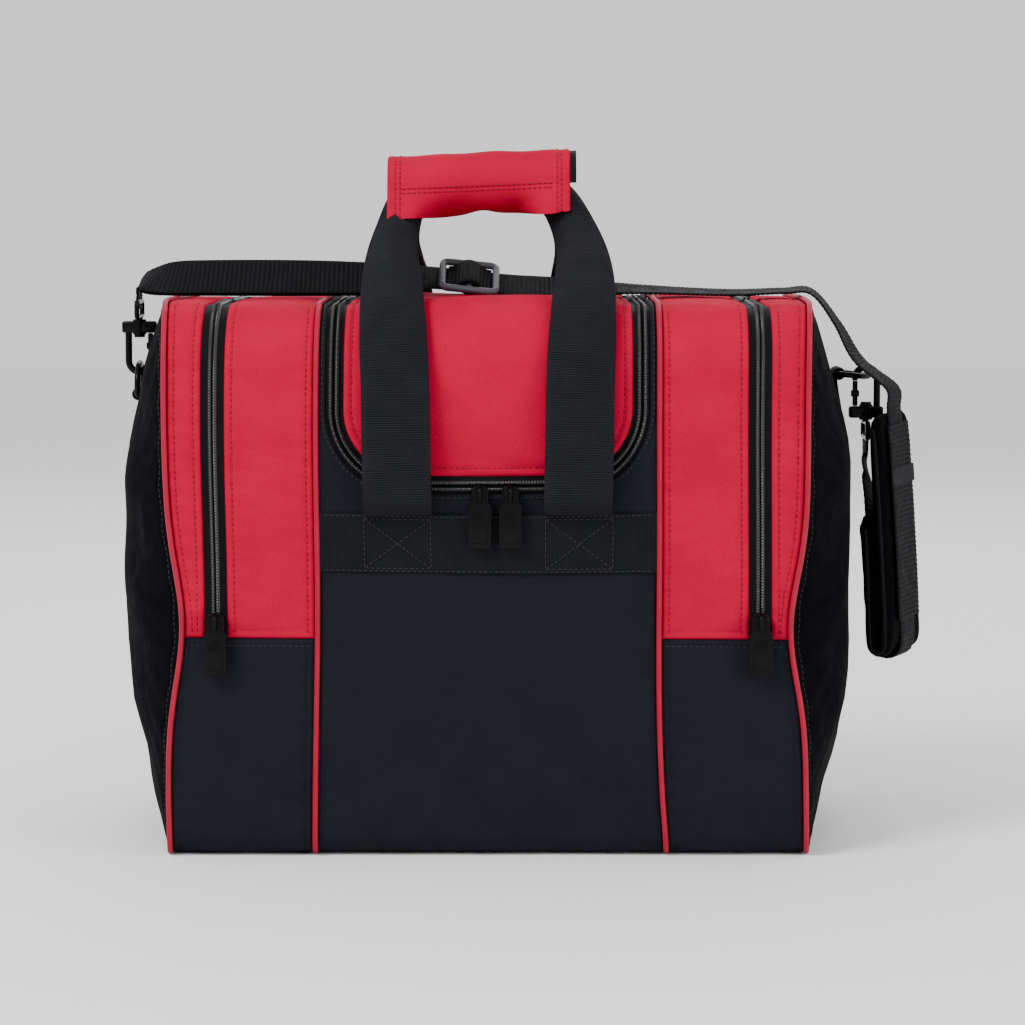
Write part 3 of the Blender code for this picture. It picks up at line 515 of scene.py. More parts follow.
def profile(s):
    """Point (y, z) and inward direction (y, z) at distance s up the front, over the top and down the back."""
    s %= S_LOOP
    if s <= S_FOLD:
        return -HALF, BOTTOM_RADIUS + s, 1.0, 0.0
    if s <= S_TOP:
        angle, radius = pi - (s - S_FOLD) / TOP_RADIUS, TOP_RADIUS
        y, z = -HALF + TOP_RADIUS, HEIGHT - TOP_RADIUS
    elif s <= S_REAR:
        return -HALF + TOP_RADIUS + s - S_TOP, HEIGHT, 0.0, -1.0
    elif s <= S_BACK:
        angle, radius = pi / 2 - (s - S_REAR) / TOP_RADIUS, TOP_RADIUS
        y, z = HALF - TOP_RADIUS, HEIGHT - TOP_RADIUS
    elif s <= S_BASE:
        return HALF, HEIGHT - TOP_RADIUS - (s - S_BACK), -1.0, 0.0
    elif s <= S_BASE + BASE_ARC:
        angle, radius = -(s - S_BASE) / BOTTOM_RADIUS, BOTTOM_RADIUS
        y, z = HALF - BOTTOM_RADIUS, BOTTOM_RADIUS
    elif s <= S_BASE + BASE_ARC + BASE_RUN:
        return HALF - BOTTOM_RADIUS - (s - S_BASE - BASE_ARC), 0.0, 0.0, 1.0
    else:
        turned = (s - S_BASE - BASE_ARC - BASE_RUN) / BOTTOM_RADIUS
        angle, radius, y, z = -pi / 2 - turned, BOTTOM_RADIUS, -HALF + BOTTOM_RADIUS, BOTTOM_RADIUS
    return y + radius * cos(angle), z + radius * sin(angle), -cos(angle), -sin(angle)


def on_shell(x, s, lift=0.0):
    """A place on the profile, raised from it by lift."""
    y, z, ny, nz = profile(s)
    return np.stack(np.broadcast_arrays(x, y - ny * lift, z - nz * lift), -1)


def outward(s):
    """The profile's outward direction."""
    _, _, ny, nz = profile(s)
    return 0, -ny, -nz


def shell_solid(name, outer, inner, across, along, finish, **options):
    """A solid from rows of places on the shell, which moves with the shell's slack."""
    outer, inner = soften(np.array(outer)), soften(np.array(inner))
    return grid_solid(name, outer, inner, across, along, finish, **options)


def front_s(z):
    return z - BOTTOM_RADIUS


def waist(y, z, sign):
    """How far the outer seam is drawn in where the pocket fronts change colour."""
    depth = 9.5 if sign > 0 else 7.5
    return depth * exp(-((z - 128) / 42) ** 2) * (y / HALF) ** 2


def outer_seam(s, sign=1):
    y, z, _, _ = profile(s)
    return EDGE_X + TOP_BOW * (1 - (y / HALF) ** 2) - waist(y, z, sign)


def inner_seam(s, sign=1):
    """The inner seam leans out a little towards the base."""
    _, z, _, _ = profile(s)
    lean = 5.0 if sign > 0 else 2.0
    return SEAM_X + lean * max(0.0, 1 - z / 150) ** 2


# ================================================================ sewn panels

ROLL = 1.7                   # radius of a panel's turned edge
STITCH_DIP = 0.55
STITCH_WIDTH = 0.9


def fractions(width, marks):
    """Places across a panel from 0 to 1, close together at its edges and at its sewn lines."""
    near = [0, 0.25, 0.7, 1.2, 1.8, 3.0]
    for mark in marks:
        near += [mark - 1.2, mark - 0.5, mark, mark + 0.5, mark + 1.2]
    step = 5.0
    middle = np.arange(max(near) + 2.5, width / 2, step)
    half = sorted(set(np.round(np.concatenate([near, middle]), 3)))
    half = [d for d in half if d < width / 2 - 0.4]
    whole = half + [width / 2] + [width - d for d in half[::-1]]
    return np.array(whole) / width


def crumple(x, s):
    """Soft slanting creases, from about -1 to 1: sharp at their crests and broad in their hollows."""
    bend = 14 * sin(s / 53.0) + 9 * np.sin(x / 31.0)
    first = np.sin((0.8 * x + 0.6 * s + bend) / 11.5)
    second = np.sin((0.5 * x - 0.87 * s + bend) / 16.0 + 1.3)
    patch = 0.5 + 0.5 * np.sin(x / 27.0 + 0.9) * sin(s / 41.0 + 0.4)
    return (np.abs(first) * 0.9 + np.abs(second) * 0.8) * patch - 0.4


class Panel:
    """A sewn piece of the shell between two side edges, each a function of the distance along the profile."""

    def __init__(self, left, right, start, end, crown=1.2, sewn=(), pucker=0.28, spread=14.0, slack=0.5):
        self.left, self.right, self.start, self.end = left, right, start, end
        self.crown, self.sewn, self.pucker, self.spread, self.slack = crown, sewn, pucker, spread, slack

    def inside(self, x, s):
        """Distance from the panel's outline."""
        side = np.minimum(x - self.left(s), self.right(s) - x)
        return np.minimum(side, min(s - self.start, self.end - s))

    def lift(self, x, s):
        """Height of the cloth above the plain profile."""
        inside = np.maximum(self.inside(x, s), 0)
        rise = self.crown * (1 - np.exp(-inside / self.spread))
        edge = np.clip(1 - inside / ROLL, 0, 1)
        rise = rise - ROLL * (1 - np.sqrt(1 - edge ** 2))
        for mark in self.sewn:
            rise = rise - STITCH_DIP * np.exp(-((inside - mark) / STITCH_WIDTH) ** 2)
        gather = np.exp(-inside / 8) * (1 - np.exp(-inside / 2.0))
        wave = np.sin(2 * pi * s / 11.0 + 2.3 * sin(s / 37) + x / 9.0)
        return rise + self.pucker * 2 * gather * wave + self.slack * crumple(x, s) * (1 - np.exp(-inside / 7))

    def point(self, x, s, depth=0.0):
        """Place on the cloth, or at a depth below it, before the whole shell is softened."""
        return on_shell(x, s, (self.lift(x, s) if depth <= 0 else 0) - depth)

    def rows(self):
        step = 2.2
        near = [0, 0.25, 0.7, 1.2, 1.8]
        for mark in self.sewn:
            near += [mark - 1.0, mark, mark + 1.0]
        middle = np.linspace(self.start + 8, self.end - 8, int((self.end - self.start) / step))
        ends = [self.start + d for d in near] + [self.end - d for d in near]
        return np.unique(np.round(np.concatenate([middle, ends]), 3))

    def build(self, name, finish):
        middle = (self.start + self.end) / 2
        share = fractions(self.right(middle) - self.left(middle), self.sewn)
        outer, inner, across, along = [], [], [], []
        for s in self.rows():
            x = self.left(s) + (self.right(s) - self.left(s)) * share
            outer.append(self.point(x, s))
            inner.append(self.point(x, s, CLOTH))
            across.append(x)
            along.append(np.full_like(x, s))
        return shell_solid(name, outer, inner, np.array(across), np.array(along), finish, lined=True)


class FlatPanel(Panel):
    """A panel that stays flat, a little inside the profile."""

    def lift(self, x, s):
        return np.zeros_like(x) - 0.3


class LidPanel(Panel):
    """The lid, whose outline has two round lower corners."""

    def inside(self, x, s):
        return lid_inside(x, s)

    def rows(self):
        turn = [LID_LOW + LID_CORNER * (1 - cos(a)) for a in np.linspace(0, pi / 2, 26)]
        plain = super().rows()
        return np.unique(np.round(np.concatenate([turn, plain[plain > LID_LOW + LID_CORNER]]), 3))


class Sewing:
    """Collects stitches, and turns them into one mesh of short threads."""

    def __init__(self):
        self.places, self.ahead, self.out = [], [], []

    def line(self, points, out, pitch=3.3):
        """A row of stitches along a line of points on the cloth, with the cloth's outward directions."""
        values = np.concatenate([np.asarray(points, float), np.asarray(out, float)], axis=1)
        if len(values) < 2:
            return
        spaced, _ = even(values, pitch)
        middle = (spaced[1:] + spaced[:-1]) / 2
        run = spaced[1:, :3] - spaced[:-1, :3]
        self.places += list(middle[:, :3])
        self.out += list(middle[:, 3:6])
        self.ahead += list(run / np.linalg.norm(run, axis=1, keepdims=True))

    def along_panel(self, panel, x_at, start, end, lift=0.15):
        """A row up a panel at x_at(s)."""
        marks = np.arange(start, end, 2.0)
        points = [panel.point(np.array(x_at(s)), s) for s in marks]
        out = [outward(s) for s in marks]
        self.line(soften(np.array(points)) + np.array(out) * lift, out)

    def build(self, name, finish, length=2.3, radius=0.36):
        places, ahead, out = (np.array(v, float) for v in (self.places, self.ahead, self.out))
        out -= ahead * np.sum(out * ahead, axis=1, keepdims=True)
        out /= np.linalg.norm(out, axis=1, keepdims=True)
        side = np.cross(ahead, out)
        around = 6
        angles = 2 * pi * np.arange(around) / around
        rings = ((-0.5, 0.35, -0.45), (-0.3, 0.95, 0.0), (0.3, 0.95, 0.0), (0.5, 0.35, -0.45))
        points = []
        for share, size, drop in rings:
            centre = places + ahead * (share * length) + out * (drop * radius)
            for angle in angles:
                points.append(centre + (side * cos(angle) + out * sin(angle)) * (size * radius))
        points = np.stack(points, 1)
        total = len(rings) * around
        faces = ring_faces(len(rings), around)
        every = []
        for j in range(len(places)):
            every += [[v + j * total for v in face] for face in faces]
        points = points.reshape(-1, 3)
        return place_mesh(name, points, every, finish, points, sharp=80)


# ================================================================ shell pieces

def make_body_panels(red_sewing, black_sewing):
    seam = front_s(POCKET_SEAM)
    tight = PIPING * 0.8

    def limits(sign, near, far):
        if sign > 0:
            return near, far
        return (lambda s: -far(s)), (lambda s: -near(s))

    centre = Panel(lambda s: -inner_seam(s, -1) + tight, lambda s: inner_seam(s, 1) - tight, -BASE_ARC * 0.9,
                   front_s(BAND_HIGH) - 6, crown=3.0, spread=55, pucker=0.2, slack=1.1)
    mount(centre.build("centre_front", "black"), "bag", "black_fabric", "front_centre_panel")
    back = Panel(lambda s: -inner_seam(s, -1) + tight, lambda s: inner_seam(s, 1) - tight, S_REAR + 1,
                 S_BASE + BASE_ARC * 0.9, crown=2.5, spread=40, sewn=(5.0,), pucker=0.25, slack=1.3)
    mount(back.build("centre_back", "black"), "bag", "black_fabric", "back_centre_panel")
    for side, sign in (("left", -1), ("right", 1)):
        near = lambda s, k=sign: inner_seam(s, k) + tight
        far = lambda s, k=sign: outer_seam(s, k) - tight
        zip_in = lambda s: ZIP_X - ZIP_HALF
        zip_out = lambda s: ZIP_X + ZIP_HALF
        left, right = limits(sign, near, far)
        lower = Panel(left, right, -BASE_ARC * 0.9, seam, crown=1.6, sewn=(4.0,), pucker=0.3, spread=18,
                      slack=1.9)
        mount(lower.build(f"{side}_pocket_front", "black"), "bag", "black_fabric",
              f"{side}_front_pocket_panel")
        rear = Panel(left, right, S_REAR, S_BASE + BASE_ARC * 0.9, crown=1.8, sewn=(4.0,), spread=18,
                     slack=0.9)
        mount(rear.build(f"{side}_pocket_back", "black"), "bag", "black_fabric", f"{side}_back_panel")
        left, right = limits(sign, near, zip_in)
        inner = Panel(left, right, seam, S_REAR, crown=1.0, sewn=(4.2,), pucker=0.24)
        mount(inner.build(f"{side}_inner_strip", "red"), "bag", "red_fabric", f"{side}_inner_pocket_strip")
        left, right = limits(sign, zip_out, far)
        outer = Panel(left, right, seam, S_REAR, crown=0.8, sewn=(4.2,), pucker=0.3, spread=8)
        mount(outer.build(f"{side}_outer_strip", "red"), "bag", "red_fabric", f"{side}_outer_pocket_strip")
        offset = 4.2
        for panel, edge in ((inner, lambda s: zip_in(s) - offset), (outer, lambda s: zip_out(s) + offset),
                            (inner, lambda s, e=near: e(s) + offset), (outer, lambda s, e=far: e(s) - offset)):
            red_sewing.along_panel(panel, lambda s, e=edge, k=sign: k * e(s), seam + 3, S_REAR - 2)
        for panel, s, sewing in ((lower, seam - 4.0, black_sewing), (rear, S_REAR + 4.0, black_sewing)):
            reach = np.arange(near(s) + 2, far(s) - 2, 2.0) * sign
            out = [outward(s)] * len(reach)
            sewing.line(soften(panel.point(reach, s)) + np.array(out) * 0.15, out)
    base = FlatPanel(lambda s: -outer_seam(s, -1) + 0.5, lambda s: outer_seam(s, 1) - 0.5,
                     S_BASE + BASE_ARC * 0.88, S_LOOP - BASE_ARC * 0.88)
    mount(base.build("base", "black"), "bag", "black_fabric", "base_panel")


def make_piping():
    for side, sign in (("left", -1), ("right", 1)):
        for label, seam in (("inner", inner_seam), ("outer", outer_seam)):
            marks = np.arange(-BASE_ARC * 0.8, S_BASE + BASE_ARC * 0.8, 3.0)
            path = soften(np.array([on_shell(sign * seam(s, sign), s, 0.9) for s in marks]))
            path[:, 2] = np.maximum(path[:, 2], PIPING + 0.1)
            points, faces, cloth = tube_mesh(path, PIPING, 10, flat=(1, 0, 0))
            cord = place_mesh(f"{side}_{label}_cord", points, faces, "piping", cloth, sharp=60)
            mount(cord, "bag", "red_piping", f"{side}_{label}_piping")


def make_seam_tapes():
    """Binding inside the bag, behind each piped seam."""
    offsets = np.array([-7.0, -6.6, -3, 0, 3, 6.6, 7.0])
    marks = np.arange(-BASE_ARC * 0.8, S_BASE + BASE_ARC * 0.8, 3.0)
    for side, sign in (("left", -1), ("right", 1)):
        for label, seam, shift in (("inner", inner_seam, 0.0), ("outer", outer_seam, -5.6)):
            outer, inner = [], []
            for s in marks:
                x = sign * (seam(s, sign) + shift) + offsets
                outer.append(on_shell(x, s, -CLOTH * 0.7))
                inner.append(on_shell(x, s, -CLOTH - 0.9))
            piece = shell_solid(f"{side}_{label}_seam_tape", outer, inner, offsets[None, :], marks[:, None],
                                "tape")
            mount(piece, "bag", "black_fabric")


def side_x(y, z, sign):
    """Outer surface of a side panel: it bulges between its seams, most of all at mid height."""
    ty = min(abs(y) / HALF, 1.0)
    tz = min(abs(2 * z / HEIGHT - 1), 1.0)
    rim = EDGE_X + TOP_BOW * (1 - ty ** 2) - waist(y, z, sign) + 1.2
    return rim + (BULGE_X - EDGE_X - TOP_BOW - 1.2) * (1 - tz ** 2.4) * (1 - ty ** 2.6)


def make_side_panels(black_sewing):
    middle = HEIGHT / 2
    marks = np.linspace(0, S_LOOP, 250, endpoint=False)
    inset = np.array([0, 0.3, 0.9, 1.8, 3.0, 4.5, 6.0, 8.0, 11, 15, 20, 26, 33, 41, 50, 60, 71, 83, 96, 108,
                      115])
    shares = 1 - inset / inset[-1]
    for side, sign in (("left", -1), ("right", 1)):
        outer, inner, across, along = [], [], [], []
        for share, distance in zip(shares, inset):
            ring_out, ring_in, u, v = [], [], [], []
            for s in marks:
                y, z, ny, nz = profile(s)
                y, z = y * share, middle + (z - middle) * share
                x = side_x(y, z, sign)
                edge = max(1 - distance / ROLL, 0)
                x -= ROLL * (1 - (1 - edge ** 2) ** 0.5)
                x -= STITCH_DIP * exp(-((distance - 4.5) / 1.0) ** 2)
                gather = exp(-distance / 14) * (1 - exp(-distance / 3))
                x += 0.9 * gather * sin(2 * pi * s / 23 + 1.7 * sin(s / 50))
                ring_out.append((sign * x, y, z))
                ring_in.append((sign * (x - 0.4 - (CLOTH - 0.4) * min(distance / 6, 1)), y, z))
                u.append(y)
                v.append(z)
            outer.append(ring_out)
            inner.append(ring_in)
            across.append(u)
            along.append(v)
        outer, inner = np.array(outer), np.array(inner)
        fall = np.clip(inset / 40, 0, 1)[:, None]
        for grid in (outer, inner):
            across_side = 0.75 * grid[..., 1] + 0.66 * grid[..., 2]
            folds = np.abs(np.sin(across_side / 19.0 + ripple(grid, 110, 23) * 1.6))
            patch = 0.5 + 0.5 * ripple(grid, 120, 24)
            grid[..., 0] += sign * fall * (ripple(grid, 70, 21) * 1.5 + folds * patch * 2.2 - 0.9)
        # the side panels' finish is the darker copy of the black nylon, which is painted shade
        panel = grid_solid(f"{side}_side", soften(outer), soften(inner), np.array(across), np.array(along), "side",
                           ring=True, capped=True, lined=True)
        mount(panel, "bag", "black_fabric", f"{side}_side_panel")
        row = list(inset).index(4.5)
        seam_line = soften(outer)[row] + np.array((sign * 0.2, 0, 0))
        black_sewing.line(seam_line, np.tile((sign, 0.0, 0.0), (len(seam_line), 1)))


# ================================================================ zips and lid

def show_coil(obj, teeth, rows):
    """Give the raised turns of a zip their own nylon, on the outer face of a swept tape."""
    obj.data.materials.append(LOOKS["coil"])
    raised = (np.abs(teeth[:-1]) > 0.5) & (np.abs(teeth[1:]) > 0.5)
    marks = np.zeros(len(obj.data.polygons), np.int32)
    outer = np.tile(raised, rows - 1)
    marks[:len(outer)] = outer
    obj.data.polygons.foreach_set("material_index", marks)


def coil_height(run, pitch=1.6):
    """The swell of a zip coil's turns along it."""
    return 0.22 * np.sin(2 * pi * np.asarray(run) / pitch)


def make_pocket_zips():
    half_offsets = np.array([0.15, 0.6, 1.3, 2.0, 2.5, 3.0, 5.0, 7.6])
    half_heights = np.array([-0.5, 0.3, 0.55, 0.2, -0.5, -1.0, -1.1, -1.5])
    offsets = np.concatenate([-half_offsets[::-1], half_offsets])
    heights = np.concatenate([half_heights[::-1], half_heights])
    teeth = np.array([0, 0, 0, 0.6, 1, 1, 0.8, 0, 0, -0.8, -1, -1, -0.6, 0, 0, 0])
    for side, sign in (("left", -1), ("right", 1)):
        marks = np.arange(front_s(POCKET_SEAM) - 2, S_REAR + 1, 0.4)
        outer, inner = [], []
        for s in marks:
            outer.append(on_shell(sign * ZIP_X + offsets, s, heights + teeth * coil_height(s)))
            inner.append(on_shell(sign * ZIP_X + offsets, s, -ZIP_THICK))
        tape = shell_solid(f"{side}_pocket_zip_tape", outer, inner, offsets[None, :], marks[:, None], "tape")
        show_coil(tape, teeth, len(marks))
        mount(tape, "bag", "zip_tape", f"{side}_pocket_zip")


def u_path(half_width, corner, low, end, step):
    """Round the lid's opening: x, s and the outward direction (x, s), from one rear end to the other."""
    straight = np.arange(end, low + corner, -step)
    rows = [(-half_width, s, -1.0, 0.0) for s in straight]
    turn = int(corner * pi / 2 / step)
    for angle in np.linspace(pi, 1.5 * pi, turn):
        rows.append((-half_width + corner + corner * cos(angle), low + corner + corner * sin(angle),
                     cos(angle), sin(angle)))
    middle = half_width - corner
    for x in np.arange(-middle + step, 0, step):
        rows.append((x, low, 0.0, -1.0))
    return np.array(rows + [(-x, s, -nx, ns) for x, s, nx, ns in rows[::-1]])


def u_sweep(name, path, offsets, heights, teeth, thickness=2.4):
    """A cross-section swept round the lid's opening. offsets are outward from the path."""
    outer, inner = [], []
    run = np.concatenate([[0], np.cumsum(np.hypot(*np.diff(path[:, :2], axis=0).T))])
    for (x, s, nx, ns), distance in zip(path, run):
        top, bottom = [], []
        for k, (offset, height) in enumerate(zip(offsets, heights)):
            place = (x + nx * offset, s + ns * offset)
            top.append(on_shell(*place, height + teeth[k] * float(coil_height(distance))))
            bottom.append(on_shell(*place, -thickness))
        outer.append(top)
        inner.append(bottom)
    obj = shell_solid(name, outer, inner, np.arange(len(offsets))[None, :] * 1.5, run[:, None], "tape")
    show_coil(obj, teeth, len(path))
    return obj


LID_LOW = front_s(LID_BOTTOM)


def lid_inside(x, s):
    """Distance inside the lid's outline, which has two round lower corners."""
    x = np.abs(x)
    side = np.minimum(LID_X - x, np.minimum(s - LID_LOW, S_REAR - s))
    dx = x - (LID_X - LID_CORNER)
    ds = LID_LOW + LID_CORNER - s
    if ds <= 0:
        return side
    return np.where(dx > 0, LID_CORNER - np.hypot(dx, ds), side)


def lid_half(s):
    """Half width of the lid at a distance up the profile."""
    ds = LID_LOW + LID_CORNER - s
    if ds <= 0:
        return LID_X
    return LID_X - LID_CORNER + max(LID_CORNER ** 2 - ds ** 2, 0) ** 0.5


def blend_lid(piece):
    """Bakes the piece's place into its mesh; two places near the lid's front edge are worked out but not used, and
    the cloth does not fold.
    """
    y_top, z_top, _, _ = profile(S_TOP - 12)
    y_low, z_low, _, _ = profile(S_FOLD - 16)
    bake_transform(piece)


def make_lid():
    lid = LidPanel(lambda s: -lid_half(s), lid_half, LID_LOW, S_REAR, crown=4.0, spread=32, sewn=(4.5,),
                   pucker=0.3)
    cover = lid.build("lid_cover", "red")
    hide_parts("lid_top_panel", "lid_front_panel")
    blend_lid(cover)

    sewing = Sewing()
    inset = 4.5
    path = u_path(LID_X - inset, LID_CORNER - inset, LID_LOW + inset, S_REAR - 3, 1.5)
    points = [lid.point(np.array(x), s) for x, s, _, _ in path]
    out = np.array([outward(s) for _, s, _, _ in path])
    sewing.line(soften(np.array(points)) + out * 0.15, out)
    threads = sewing.build("lid_stitches", "red_thread")
    blend_lid(threads)

    ridge = np.array([-2.0, -0.4, 0.6, 1.6, 2.2, 2.7, 3.4, 4.1, 4.75, 5.0])
    height = np.array([-1.6, -1.3, -1.2, -1.1, -0.6, 0.2, 0.55, 0.3, -0.4, -1.0])
    teeth = np.array([0, 0, 0, 0, 0.6, 1, 1, 0.8, 0.2, 0])
    path = u_path(LID_X + 0.2, LID_CORNER + 0.2, LID_LOW - 0.2, S_REAR, 0.45)
    half = u_sweep("lid_zip_half", path, ridge, height, teeth)
    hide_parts("left_lid_zip", "right_lid_zip", "lid_front_zip")
    blend_lid(half)

    start = LID_X + LID_TAPE + 0.5
    path = u_path(start, LID_CORNER + LID_TAPE + 0.5, LID_LOW - LID_TAPE - 0.5, S_REAR, 0.45)
    body_ridge = np.array([0, 0.25, 0.9, 1.6, 2.3, 2.8, 3.4, 4.6, 6.0, 8.0])
    body_height = np.array([-1.0, -0.4, 0.3, 0.55, 0.2, -0.6, -1.1, -1.2, -1.3, -1.7])
    body_teeth = np.array([0, -0.2, -0.8, -1, -1, -0.6, 0, 0, 0, 0])
    half = u_sweep("body_zip_half", path, body_ridge, body_height, body_teeth)
    mount(half, "bag", "zip_tape", "main_zip_body_tape")


def make_hinge_tape():
    """Binding sewn over the lid's rear seam, which is where the lid bends."""
    reach = np.concatenate([[-6.0], np.arange(-5.5, 6.0, 0.8), [6.0]])
    columns = np.linspace(-LID_X, LID_X, 60)
    outer, inner = [], []
    for offset in reach:
        lift = 1.6 - 0.9 * max(1 - (6 - abs(offset)) / 1.2, 0) ** 2
        outer.append(on_shell(columns, S_REAR + 0.5 + offset, lift))
        inner.append(on_shell(columns, S_REAR + 0.5 + offset, -1.2))
    tape = shell_solid("hinge_tape", outer, inner, reach[:, None], columns[None, :], "tape")
    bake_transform(tape)


def make_zip_surround(black_sewing):
    """The black cloth round the main zip, from its tape out to the inner seams and down behind the band."""
    start = LID_X + LID_TAPE + 0.5
    corner_radius = LID_CORNER + LID_TAPE + 0.5
    path = u_path(start, corner_radius, LID_LOW - LID_TAPE - 0.5, S_REAR, 1.6)
    side_limit = SEAM_X - PIPING * 0.8
    low_limit = front_s(BAND_HIGH) - 9
    shares = (0, 0.02, 0.06, 0.12, 0.2, 0.32, 0.45, 0.6, 0.75, 0.88, 0.96, 1.0)
    first = 4.4

    def reach(x, s, nx, ns):
        options = []
        if abs(nx) > 1e-6:
            options.append((side_limit - abs(x)) / abs(nx))
        if ns < -1e-6:
            options.append((s - low_limit) / -ns)
        return min(options)

    outer, inner, across, along = [], [], [], []
    for x, s, nx, ns in path:
        far = reach(x, s, nx, ns)
        top, bottom, u, v = [], [], [], []
        for share in shares:
            offset = first + (far - first) * share
            place = (x + nx * offset, s + ns * offset)
            distance = min(offset - first, far - offset)
            edge = max(1 - distance / ROLL, 0)
            lift = 0.4 - ROLL * (1 - (1 - edge ** 2) ** 0.5) * 0.8
            if offset - first > 2.0:
                lift -= STITCH_DIP * exp(-((offset - first - 3.4) / 1.2) ** 2)
            top.append(on_shell(*place, lift))
            bottom.append(on_shell(*place, -CLOTH))
            u.append(place[0])
            v.append(place[1])
        outer.append(top)
        inner.append(bottom)
        across.append(u)
        along.append(v)
    piece = shell_solid("zip_surround", outer, inner, np.array(across), np.array(along), "black", lined=True)
    mount(piece, "bag", "black_fabric")
    line, out = [], []
    for x, s, nx, ns in path:
        offset = first + 2.0
        if reach(x, s, nx, ns) < offset + 1:
            continue
        line.append(on_shell(x + nx * offset, s + ns * offset, 0.45))
        out.append(outward(s + ns * offset))
    black_sewing.line(soften(np.array(line)), out)


# ================================================================ webbing

def strip(name, stations, width, thickness, finish, pitch, step, curl_side=1.0, relief=0.16):
    """Webbing through stations of (centre, across, curl): curl is the angle it is rolled through."""
    rows = [(*centre, *across, curl) for centre, across, curl in stations]
    values, run = even(catmull(rows, 12), step)
    place, across, curl = values[:, :3], values[:, 3:6], values[:, 6]
    ahead = np.gradient(place, axis=0)
    ahead /= np.linalg.norm(ahead, axis=1, keepdims=True)
    across = across - ahead * np.sum(across * ahead, axis=1, keepdims=True)
    across /= np.linalg.norm(across, axis=1, keepdims=True)
    normal = np.cross(across, ahead)
    columns = np.array([-1, -0.985, -0.94, -0.85, -0.6, -0.3, 0, 0.3, 0.6, 0.85, 0.94, 0.985, 1])
    angle = columns[None] * np.maximum(curl, 1e-3)[:, None] / 2
    radius = (width / np.maximum(curl, 1e-3))[:, None]
    sag = radius * (1 - np.cos(angle))
    sag = sag - sag.mean(axis=1, keepdims=True)
    flat = radius * np.sin(angle)
    tilt_a, tilt_n = np.sin(angle), np.cos(angle)
    middle = place[:, None] + across[:, None] * flat[..., None]
    middle = middle - normal[:, None] * (curl_side * sag)[..., None]
    face = normal[:, None] * tilt_n[..., None] + across[:, None] * (curl_side * tilt_a)[..., None]
    thick = thickness / 2 * (1 - np.abs(columns) ** 14) ** 0.5
    ribs = 1 + relief * np.sin(2 * pi * run / pitch)
    half = np.maximum(thick[None] * ribs[:, None], 0.05)[..., None]
    weave_across = columns[None] * width / 2
    return grid_solid(name, middle + face * half, middle - face * half, weave_across, run[:, None], finish)


HANDLE_SIDE = (
    # x, distance in front of the middle, z, turn towards the middle, curl
    (50.0, 119.2, 192.6, 0, 0.0),
    (50.0, 125.5, 196.0, 0, 0.0),
    (50.0, 129.5, 205.0, 0, 0.05),
    (50.5, 128.5, 228.0, 0, 0.15),
    (51.0, 125.5, 262.0, 0, 0.25),
    (52.0, 121.0, 286.0, 0, 0.5),
    (53.0, 109.0, 306.0, 0, 1.1),
    (54.0, 81.0, 325.0, 2, 1.8),
    (53.5, 48.0, 337.5, 10, 2.5),
    (50.5, 20.0, 349.5, 28, 3.2),
    (45.0, 8.5, 362.5, 55, 3.6),
    (37.5, 5.0, 371.0, 80, 3.8),
    (29.0, 3.9, 375.5, 90, 3.9),
)
GRIP_X = -6.0
GRIP_Z = 375.5
GRIP_HALF = 53.0
GRIP_RADIUS = 18.3
GRIP_TILT = sin(radians(2.4))
GRIP_SEAM = radians(98)      # the wrap's lengthwise seam, round from its top
WEBBING = 38.0


def make_handle(label, face):
    rows = [(-1, *row) for row in HANDLE_SIDE] + [(1, *row) for row in HANDLE_SIDE[::-1]]
    stations = []
    for sign, x, reach, z, turn, curl in rows:
        share = turn / 90.0
        centre = (GRIP_X * share + sign * x, face * reach, z + GRIP_TILT * sign * x * share)
        angle = radians(turn) if sign < 0 else pi - radians(turn)
        stations.append((centre, (cos(angle), 0, -sin(angle)), curl))
    webbing = strip(f"{label}_handle_loop", stations, WEBBING, 2.2, "webbing", 1.3, 0.36, curl_side=-face)
    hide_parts(f"{label}_handle_webbing")
    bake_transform(webbing)


def grip_place(dx, angle, radius, face):
    """A place on the wrap: angle is from the top (0) round the outside to the bottom (pi)."""
    opened = min(max((abs(dx) - 20) / 20, 0), 1)
    opened = opened * opened * (3 - 2 * opened)
    y = radius * sin(angle)
    if angle > pi / 2:
        y = y * (1 - opened) + radius * (1.0 + 0.42 * (angle - pi / 2) / (pi / 2)) * opened
    z = radius * cos(angle)
    return GRIP_X + dx, face * y, GRIP_Z + GRIP_TILT * dx + z


def grip_radius(dx, angle):
    """The wrap's soft outer surface, with turned and sewn ends and a wrinkle below its middle."""
    end = GRIP_HALF - abs(dx)
    edge = max(1 - end / 1.4, 0)
    roll = 1.1 * (1 - (1 - edge ** 2) ** 0.5)
    dip = 0.45 * exp(-((end - 5.0) / 0.9) ** 2) + 0.35 * exp(-((angle - GRIP_SEAM) * GRIP_RADIUS / 1.1) ** 2)
    low = exp(-((angle - 2.6) / 0.55) ** 2)
    wrinkle = 0.55 * sin(dx / 6.5 + 3 * angle) * low
    notch = 2.4 * exp(-((dx - 2) / 8) ** 2) * exp(-((angle - 3.05) / 0.5) ** 2)
    swell = 0.55 * sin(dx / 12.0 + 1.1) * sin(angle * 1.4 + 0.5) + 0.3 * sin(dx / 5.2 - angle * 2.0)
    return GRIP_RADIUS - roll - dip - notch + wrinkle + swell * min(end / 10, 1)


